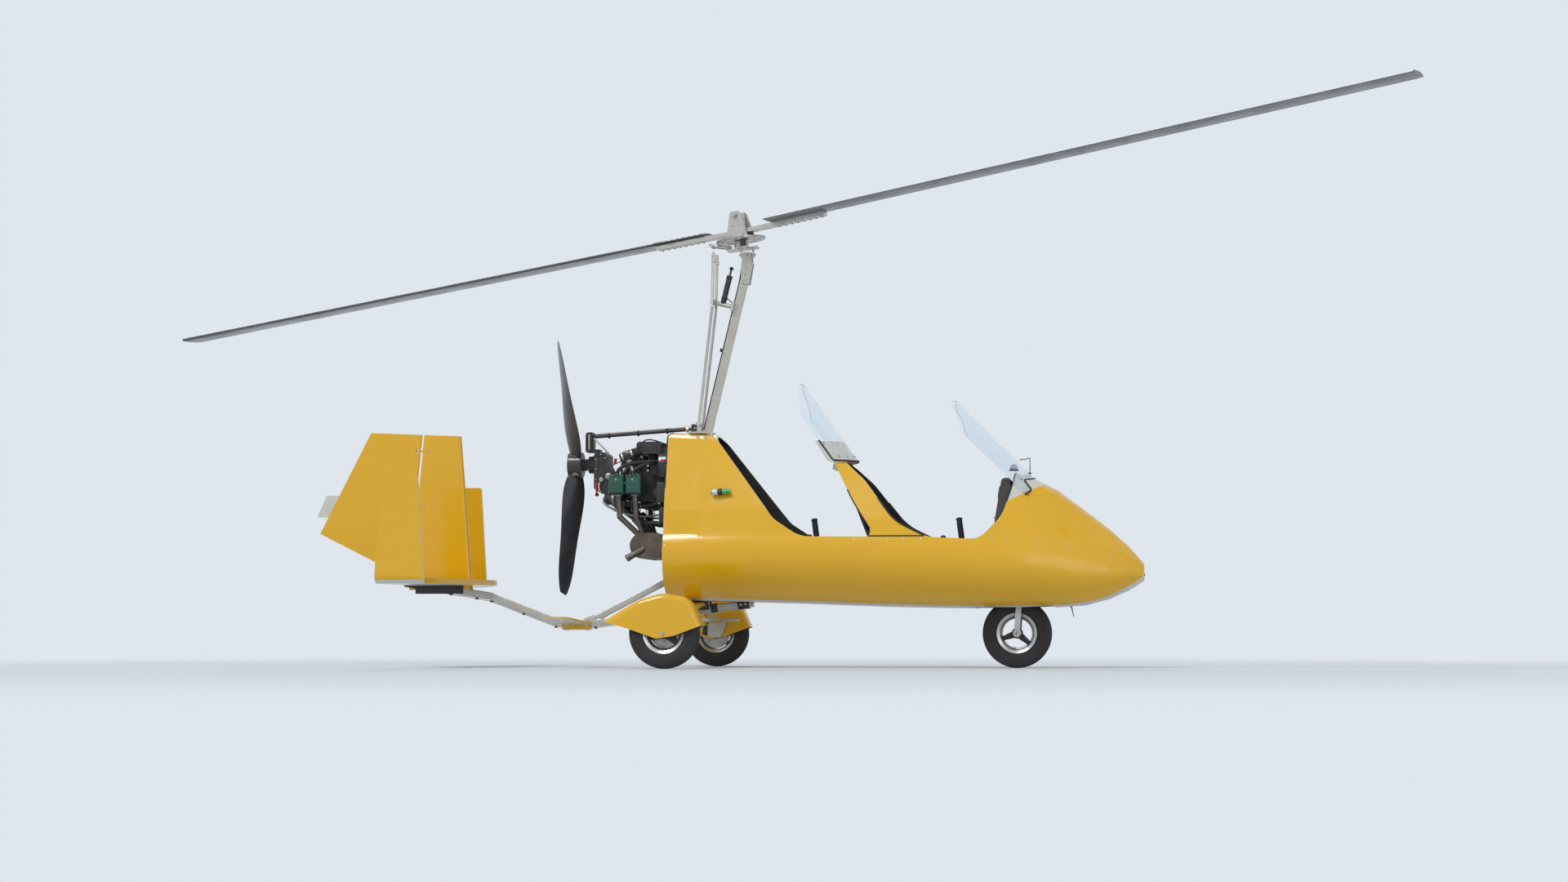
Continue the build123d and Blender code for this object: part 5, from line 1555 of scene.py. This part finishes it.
for sign in (-1, 1):
    brick(casting, (0.004, 0.150, 0.200), (-0.869, 0, 1.190), soft=0.002)
    for x, z in (
        (-0.856, 1.075), (-0.856, 1.135), (-0.856, 1.195), (-0.856, 1.255), (-0.826, 1.284),
        (-0.826, 1.060), (-0.800, 1.262),
    ):
        bolt(nuts, (x, sign * 0.0952, z), (0, sign, 0), 0.004, nut=False)
    brick(casting, (0.006, 0.004, 0.215), (-0.842, sign * 0.0965, 1.170), soft=0.001)
    for x in CYLINDERS:
        bolt(nuts, (x, sign * 0.3074, 1.118), (0, sign, 0), 0.0055, nut=False)
        for z in (1.064, 1.091):
            brick(green, (0.064, 0.004, 0.005), (x, sign * 0.3085, z), soft=0.0012)
        brick(green, (0.066, 0.006, 0.006), (x, sign * 0.3055, 1.139), soft=0.0018)
        for step in (-1, 1):
            plug = Vector((x + step * 0.024, sign * 0.252, 1.1455))
            lathe(alloy, ((0.0085, 0), (0.0085, 0.006), (0.006, 0.008), (0.006, 0.012)), plug, (0, 0, 1), 6)
            lathe(
                rubbers, ((0.0072, 0), (0.0072, 0.024), (0.0055, 0.030), (0, 0.031)),
                plug + Vector((0, 0, 0.009)), (0, 0, 1), 14,
            )
            box_end = Vector((-0.640 + step * 0.034 + (x + 0.636) * 0.25, sign * 0.058, 1.2325))
            over = [plug + Vector((0, 0, 0.036)), plug + Vector((step * 0.006, -sign * 0.006, 0.062))]
            hose(
                rubbers, over + [Vector((x * 0.5 - 0.318 + step * 0.020, sign * 0.118, 1.243)), box_end],
                0.0032, sides=7,
            )
        band(alloy, 0.0175, 0.026, 0.007, (x, sign * 0.230, 1.035), (0.04, -sign * 0.12, -1))
        for step in (-1, 1):
            bolt(nuts, (x + step * 0.021, sign * 0.229, 1.027), (0, 0, -1), 0.004, nut=False)
    brick(casting, (0.135, 0.048, 0.046), (-0.640, sign * 0.052, 1.2095), soft=0.005)
    brick(alloy, (0.120, 0.036, 0.003), (-0.640, sign * 0.052, 1.2335), soft=0.001)
lathe(
    casting,
    ((0, 0), (0.030, 0.002), (0.034, 0.008), (0.034, 0.092), (0.026, 0.098), (0.026, 0.118), (0, 0.120)),
    (-0.790, -0.128, 1.010), (1, 0, 0), 30,
)
band(alloy, 0.0345, 0.036, 0.012, (-0.745, -0.128, 1.010), (1, 0, 0), 30)
lathe(
    alloy, ((0, 0), (0.012, 0.001), (0.015, 0.004), (0.015, 0.050), (0, 0.052)), (-0.765, -0.148, 1.052),
    (1, 0, 0), 20,
)
lathe(
    casting, ((0, 0), (0.036, 0.002), (0.039, 0.008), (0.039, 0.070), (0.034, 0.074), (0, 0.074)),
    (-0.505, 0.155, 1.032), (1, 0, 0), 32,
)
lathe(
    casting, ((0.010, 0), (0.034, 0.002), (0.038, 0.006), (0.038, 0.066), (0.032, 0.078), (0, 0.079)),
    (-0.452, -0.118, 1.046), (0, -1, 0), 32,
)
for across, rise in circle(16, 0.035):
    brick(casting, (0.005, 0.020, 0.004), (-0.452 + across, -0.186, 1.046 + rise), soft=0)
for x, z, radius in ((-0.820, 1.130, 0.016), (-0.770, 1.150, 0.020), (-0.745, 1.110, 0.012)):
    lathe(
        alloy, ((0, 0), (radius, 0), (radius, 0.012), (radius * 0.7, 0.016), (0, 0.016)),
        (x, -0.0945 if x < -0.79 else -0.1175, z), (0, -1, 0),
    )
for y in (-0.031, 0.031):
    for z in (-0.031, 0.031):
        bolt(nuts, (-0.9155, y, 1.226 + z), (-1, 0, 0), 0.0055, nut=False)
fit("engine_castings", casting, engine_dark, "airframe")
fit("engine_alloy_parts", alloy, cast_silver, "airframe")
fit("engine_bolts", nuts, plated, "airframe")
fit("rocker_cover_ribs", green, cover_green, "airframe")

# Intake and pipework: carburettors with alloy bowls in clipped rubber sockets, on runners to the cylinder
# heads, with fuel and coolant hoses, an oil pipe, and the tanks and boxes behind the firewall.
bowls = bmesh.new()
clips = bmesh.new()
tanks = bmesh.new()
PIPES = (
    (rubbers, 0.0042, 8, (
        (-0.650, 0.180, 1.205), (-0.655, 0.205, 1.235), (-0.600, 0.190, 1.275), (-0.545, 0.120, 1.366),
        (-0.440, 0.060, 1.345), (-0.365, 0.050, 1.280),
    )),
    (bowls, 0.0065, 10, (
        (-0.800, 0.070, 1.040), (-0.790, 0.155, 0.985), (-0.700, 0.150, 0.935), (-0.560, 0.130, 0.905),
        (-0.430, 0.140, 0.920), (-0.362, 0.150, 0.960),
    )),
    (rubbers, 0.0125, 12, (
        (-0.755, 0.050, 0.985), (-0.700, 0.165, 1.000), (-0.560, 0.185, 0.965), (-0.450, 0.165, 0.985),
        (-0.362, 0.185, 1.010),
    )),
    (rubbers, 0.0135, 12, (
        (-0.600, 0.060, 0.930), (-0.540, 0.160, 0.870), (-0.440, 0.200, 0.860), (-0.362, 0.190, 0.830),
    )),
)
for sign in (-1, 1):
    carb = Vector((-0.640, sign * 0.150, 1.215))
    lathe(
        bowls, ((0, 0), (0.020, 0), (0.030, 0.004), (0.032, 0.010), (0.032, 0.024), (0.026, 0.026)),
        carb + Vector((0.0, sign * 0.010, -0.020)), (0, 0, 1), 28,
    )
    lathe(
        bowls,
        (
            (0, 0), (0.018, 0.002), (0.030, 0.006), (0.030, 0.018), (0.033, 0.020), (0.033, 0.026),
            (0, 0.028),
        ),
        carb + Vector((0, 0, 0.060)), (0, sign * 0.3, 1), 28,
    )
    band(clips, 0.0345, 0.036, 0.009, (-0.612, sign * 0.150, 1.281), (-0.93, 0, -0.36), 30)
    band(clips, 0.0345, 0.036, 0.009, (-0.668, sign * 0.150, 1.259), (-0.93, 0, -0.36), 30)
    bar(rubbers, (-0.690, sign * 0.150, 1.250), (-0.600, sign * 0.150, 1.285), 0.0340, sides=28)
    bar(rubbers, (-0.612, sign * 0.147, 1.281), (-0.570, sign * 0.125, 1.303), 0.0300, sides=28)
    bar(bowls, carb, (-0.640, sign * 0.150, 1.275), 0.0260, sides=28)
    for x in CYLINDERS:
        start = Vector((-0.640, sign * 0.150, 1.225))
        port = Vector((x, sign * 0.195, 1.146))
        run = port - start
        bar(bowls, start, port, 0.0150, sides=20)
        for share in (0.35, 0.80):
            place = start + run * share
            band(clips, 0.0152, 0.0168, 0.007, place, run, 22)
        coolant = (
            (x, 0.262, 1.150), (x + 0.012, 0.272, 1.182), (x + 0.07, 0.235, 1.215), (-0.470, 0.170, 1.232),
            (-0.400, 0.120, 1.190), (-0.360, 0.115, 1.150),
        )
        hose(rubbers, [(ahead, sign * y, z) for ahead, y, z in coolant], 0.0105, sides=12)
        band(clips, 0.0107, 0.0120, 0.007, (x + 0.001, sign * 0.263, 1.154), (0.1, sign * 0.25, 1), 18)
    for bm, radius, sides, line in PIPES:
        hose(bm, [(x, sign * y, z) for x, y, z in line], radius, sides=sides)
    for x, y, z in ((-0.560, 0.1850, 0.9650), (-0.450, 0.1650, 0.9850)):
        band(clips, 0.0127, 0.0140, 0.008, (x - 0.004, sign * y, z), (1, 0, 0.05), 18)
lathe(
    tanks,
    (
        (0, 0), (0.046, 0.003), (0.054, 0.014), (0.054, 0.190), (0.044, 0.206), (0.020, 0.210),
        (0.020, 0.226), (0.024, 0.227), (0.024, 0.238), (0, 0.240),
    ),
    (-0.422, 0.218, 0.985), (0, 0, 1), 36,
)
for z in (1.030, 1.130):
    band(clips, 0.0543, 0.0555, 0.013, (-0.422, 0.218, z), (0, 0, 1), 36)
brick(tanks, (0.084, 0.080, 0.120), (-0.408, -0.218, 1.045), soft=0.008)
brick(tanks, (0.070, 0.110, 0.090), (-0.400, -0.205, 0.905), soft=0.007)
brick(tanks, (0.120, 0.030, 0.070), (-0.450, -0.150, 1.180), (0, 8, 0), soft=0.006)
lathe(
    tanks, ((0, 0), (0.036, 0.003), (0.042, 0.012), (0.042, 0.090), (0.034, 0.100), (0, 0.101)),
    (-0.415, -0.205, 1.130), (0, 0, 1), 32,
)
red_cap = bmesh.new()
lathe(
    red_cap, ((0.018, 0), (0.021, 0.001), (0.021, 0.012), (0.018, 0.014), (0, 0.014)),
    (-0.415, -0.205, 1.229), (0, 0, 1),
)
lathe(
    red_cap, ((0, 0), (0.0085, 0.001), (0.0085, 0.034), (0, 0.035)), (-0.742, -0.082, 1.226), (0.2, 0, 1),
    16,
)
hose(
    red_cap,
    [(-0.846, -0.090, 1.118), (-0.851, -0.104, 1.100), (-0.850, -0.106, 1.070), (-0.846, -0.106, 1.050)],
    0.006,
)
fit("red_caps_and_pipe", red_cap, signal_red, "airframe")
pale_parts_and_shaft_highlight = bmesh.new()
hose(pale_parts_and_shaft_highlight, [(-0.832, -0.096, 1.112), (-0.834, -0.110, 1.090), (-0.828, -0.112, 1.062)], 0.005)
for sign in (-1, 1):
    brick(pale_parts_and_shaft_highlight, (0.009, 0.0012, 0.100), (-0.914, sign * 0.0264, 1.360), soft=0)
bar(pale_parts_and_shaft_highlight, (-0.886, -0.018, 1.388), (-0.778, -0.080, 1.290), 0.0055)
# The pale rod along the top of the black pre-rotator shaft is a painted highlight: a light line along the
# shaft's top.
bar(pale_parts_and_shaft_highlight, (-0.880, 0.0, 1.4130), (-0.300, 0.0, 1.4520), 0.0060)
fit("white_strut_strips_and_painted_shaft_highlight", pale_parts_and_shaft_highlight, pale_gelcoat, "airframe")
lathe(
    rubbers, ((0, 0), (0.009, 0.001), (0.011, 0.005), (0.011, 0.016), (0.006, 0.020), (0, 0.020)),
    (-0.846, -0.106, 1.030), (0, 0, 1), 18,
)
for x in (-0.800, -0.620, -0.440):
    band(rubbers, 0.0112, 0.0178, 0.010, (x, 0, 1.398 + (x + 0.884) * 0.0662), (1, 0, 0.066), 18)
fit("engine_hoses_and_leads", rubbers, soft_rubber, "airframe")
fit("carburettor_bowls_and_pipes", bowls, cast_silver, "airframe")
fit("hose_clips", clips, plated, "airframe")
fit("tanks_and_boxes", tanks, black_metal, "airframe")

# Exhaust, radiator and frame: heat-browned steel held by springs, a finned radiator with end tanks, and a
# black steel frame with rubber mounts. The pre-rotator's belt guard is folded sheet, screwed at the rear.
exhaust_brown = finish(
    "heat browned steel", (0.17, 0.145, 0.12), 0.42, (0.09, 0.06, 0.045), metal=0.9, patch=9, amount=0.7,
    bump=0.08,
)
coated("exhaust", exhaust_brown)
for name in ("radiator", "engine_frame", "prerotator_drive"):
    coated(name, black_metal)
bands = bmesh.new()
for y in (-0.1875, -0.060, 0.060, 0.1875):
    outline = [
        ((-0.482 if along > 0 else -0.548) + along, y, 0.728 + up)
        for along, up in circle(24, 0.0755)
    ]
    hose(bands, outline, 0.0028, sides=6, closed=True, smooth=1)
for sign in (-1, 1):
    for x in CYLINDERS:
        for turned in (-1, 1):
            coil = []
            for step in range(49):
                angle = math.tau * step / 6
                coil.append(
                    (
                        x + 0.003 + turned * 0.026 + 0.005 * math.cos(angle),
                        sign * 0.219 + 0.005 * math.sin(angle), 0.988 - 0.0011 * step,
                    )
                )
            hose(bands, coil, 0.0012, sides=5, smooth=1)
        for z in (0.989, 0.934):
            brick(bands, (0.062, 0.004, 0.003), (x + 0.003, sign * 0.219, z), soft=0.0008)
band(bands, 0.0202, 0.0222, 0.012, (-0.6255, -0.2098, 0.6587), (-0.81, -0.28, -0.48))
fit("exhaust_bands_and_springs", bands, exhaust_brown, "airframe")
slant = Matrix.Translation((-0.690, 0, 0.951)) @ Matrix.Rotation(math.radians(35), 4, "Y")
fins = bmesh.new()
for index in range(30):
    brick(fins, (0.0012, 0.136, 0.003), (-0.064 + index * 0.0044, 0, -0.0200), soft=0, frame_of=slant)
fit("radiator_fins", fins, cast_silver, "airframe")
mounts = bmesh.new()
for x in (-0.0775, 0.0775):
    brick(mounts, (0.014, 0.155, 0.042), (x, 0, 0), soft=0.004, frame_of=slant)
for sign in (-1, 1):
    brick(mounts, (0.158, 0.006, 0.042), (0, sign * 0.0775, 0), soft=0.002, frame_of=slant)
    for x, z in ((-0.560, 0.976), (-0.700, 0.976)):
        lathe(
            mounts,
            (
                (0.010, 0), (0.023, 0.001), (0.024, 0.008), (0.020, 0.012), (0.024, 0.016), (0.023, 0.023),
                (0.010, 0.024),
            ),
            (x, sign * 0.090, z + 0.002), (0, 0, 1),
        )
    for x, z in ((-0.3505, 1.230), (-0.3505, 0.976), (-0.3505, 0.640)):
        brick(mounts, (0.007, 0.056, 0.056), (x - 0.004, sign * 0.090, z), soft=0.002)
fit("engine_mounts_and_radiator_tanks", mounts, black_metal, "airframe")
frame_bolts = bmesh.new()
for sign in (-1, 1):
    for z in (1.230, 0.976, 0.640):
        for y, up_step in ((-0.019, -0.019), (0.019, -0.019), (-0.019, 0.019), (0.019, 0.019)):
            bolt(frame_bolts, (-0.3580, sign * 0.090 + y, z + up_step), (-1, 0, 0), 0.004, nut=False)
    for x, z in ((-0.926, 1.312), (-0.894, 1.312), (-0.926, 1.412), (-0.894, 1.412)):
        bolt(frame_bolts, (x, sign * 0.0262, z), (0, sign, 0), 0.003, nut=False)
band(frame_bolts, 0.0112, 0.0185, 0.018, (-0.300, 0, 1.437), (-1, 0, -0.066), 20)
bolt(frame_bolts, (-0.262, -0.0222, 1.442), (0, -1, 0))
fit("frame_and_guard_bolts", frame_bolts, plated, "airframe")

# Lamps: a dark moulded ring between a clear lens at the back and a coloured one at the front, green to
# starboard and red to port. Each stands on its short stalk on the pod.
lamp_green = finish("green lens", (0.010, 0.42, 0.13), 0.12, (0.010, 0.36, 0.11), amount=0.1, coat=0.6)
lamp_red = finish("red lens", (0.42, 0.012, 0.010), 0.12, (0.36, 0.010, 0.010), amount=0.1, coat=0.6)
lamp_clear = finish("clear lens", (0.62, 0.63, 0.62), 0.12, (0.52, 0.53, 0.52), amount=0.1, coat=0.6)
lamp_body = bmesh.new()
lenses = bmesh.new()
for side, sign, colour in (("right", -1, lamp_green), ("left", 1, lamp_red)):
    coated(f"lamp_{side}", colour)
    rear_end = Vector((-0.104, sign * 0.322, 1.036))
    front_end = Vector((0.006, sign * 0.322, 1.044))
    run = (front_end - rear_end).normalized()
    band(lenses, 0.0163, 0.0178, 0.030, rear_end + run * 0.006, run, 28)
    lathe(
        lamp_body,
        ((0.0163, 0), (0.0185, 0.001), (0.0190, 0.004), (0.0190, 0.022), (0.0185, 0.025), (0.0163, 0.026)),
        rear_end + run * 0.037, run, 28,
    )
    for step in (0.063, 0.092):
        lathe(
            lamp_body, ((0.0163, 0), (0.0172, 0.0005), (0.0172, 0.002), (0.0163, 0.0025)),
            rear_end + run * step, run, 28,
        )
fit("lamp_bodies", lamp_body, black_metal, "airframe")
fit("lamp_rear_lenses", lenses, lamp_clear, "airframe")

# Small things on the nose: an off-white tip with a dark drain ring under it, a compass with a grey bowl on
# the fairing, a short post with a dark wool streamer, and a rod antenna below.
nose_skin = skin_of("nose_cowl", "fuselage")
for name in ("nose_cowl", "fuselage"):
    node = nodes[name]
    node.data.materials.append(pale_gelcoat)
    for face in node.data.polygons:
        if face.center.x > 2.38 and face.normal.x > 0.8:
            face.material_index = len(node.data.materials) - 1
ring = bmesh.new()
hit, normal, _, _ = nose_skin.ray_cast(Vector((2.60, 0.001, 0.548)), Vector((-1, 0, 0)))
lathe(
    ring, ((0.004, 0), (0.010, 0), (0.010, 0.002), (0.008, 0.0045), (0.005, 0.0045), (0.004, 0.001)),
    hit - normal * 0.001, normal, 28,
)
small = bmesh.new()
compass = Vector((1.662, 0, 1.170))
lathe(
    small, ((0, 0), (0.030, 0), (0.031, 0.004), (0.025, 0.010), (0, 0.010)),
    compass - Vector((0, 0, 0.003)), (0, 0, 1), 28,
)
post = Vector((1.757, 0, 1.150))
lathe(
    small,
    (
        (0, 0), (0.011, 0.001), (0.008, 0.005), (0.003, 0.008), (0.0022, 0.085), (0.0035, 0.088),
        (0.0035, 0.092), (0, 0.093),
    ),
    post, (0, 0, 1), 14,
)
wool = (
    (-0.001, 0, 0.090), (-0.012, 0.001, 0.091), (-0.030, 0.002, 0.083), (-0.046, -0.001, 0.087),
    (-0.060, 0.001, 0.078),
)
hose(small, [post + Vector(point) for point in wool], 0.0026, sides=8)
root = nose_skin.ray_cast(Vector((1.996, 0, 0.20)), Vector((0, 0, 1)))[0]
lathe(
    small, ((0, -0.004), (0.010, -0.002), (0.006, 0.004), (0.0028, 0.006), (0.0022, 0.062), (0, 0.064)),
    root, (0.25, 0, -1), 14,
)
band(small, 0.0015, 0.006, 0.006, root + Vector((0.004, 0, -0.014)), (0.25, 0, -1), 12)
fit("compass_foot_streamer_and_antenna", small, spider_black, "airframe")
fit("nose_drain_ring", ring, spider_black, "airframe")
ball = bmesh.new()
lathe(
    ball,
    [
        (0.024 * math.cos(math.radians(a)), 0.016 + 0.024 * math.sin(math.radians(a)))
        for a in range(-30, 91, 10)
    ],
    compass, (0, 0, 1), 28,
)
compass_grey = finish("compass bowl", (0.32, 0.34, 0.36), 0.15, (0.22, 0.23, 0.25), amount=0.2, coat=0.7)
fit("compass_bowl", ball, compass_grey, "airframe")
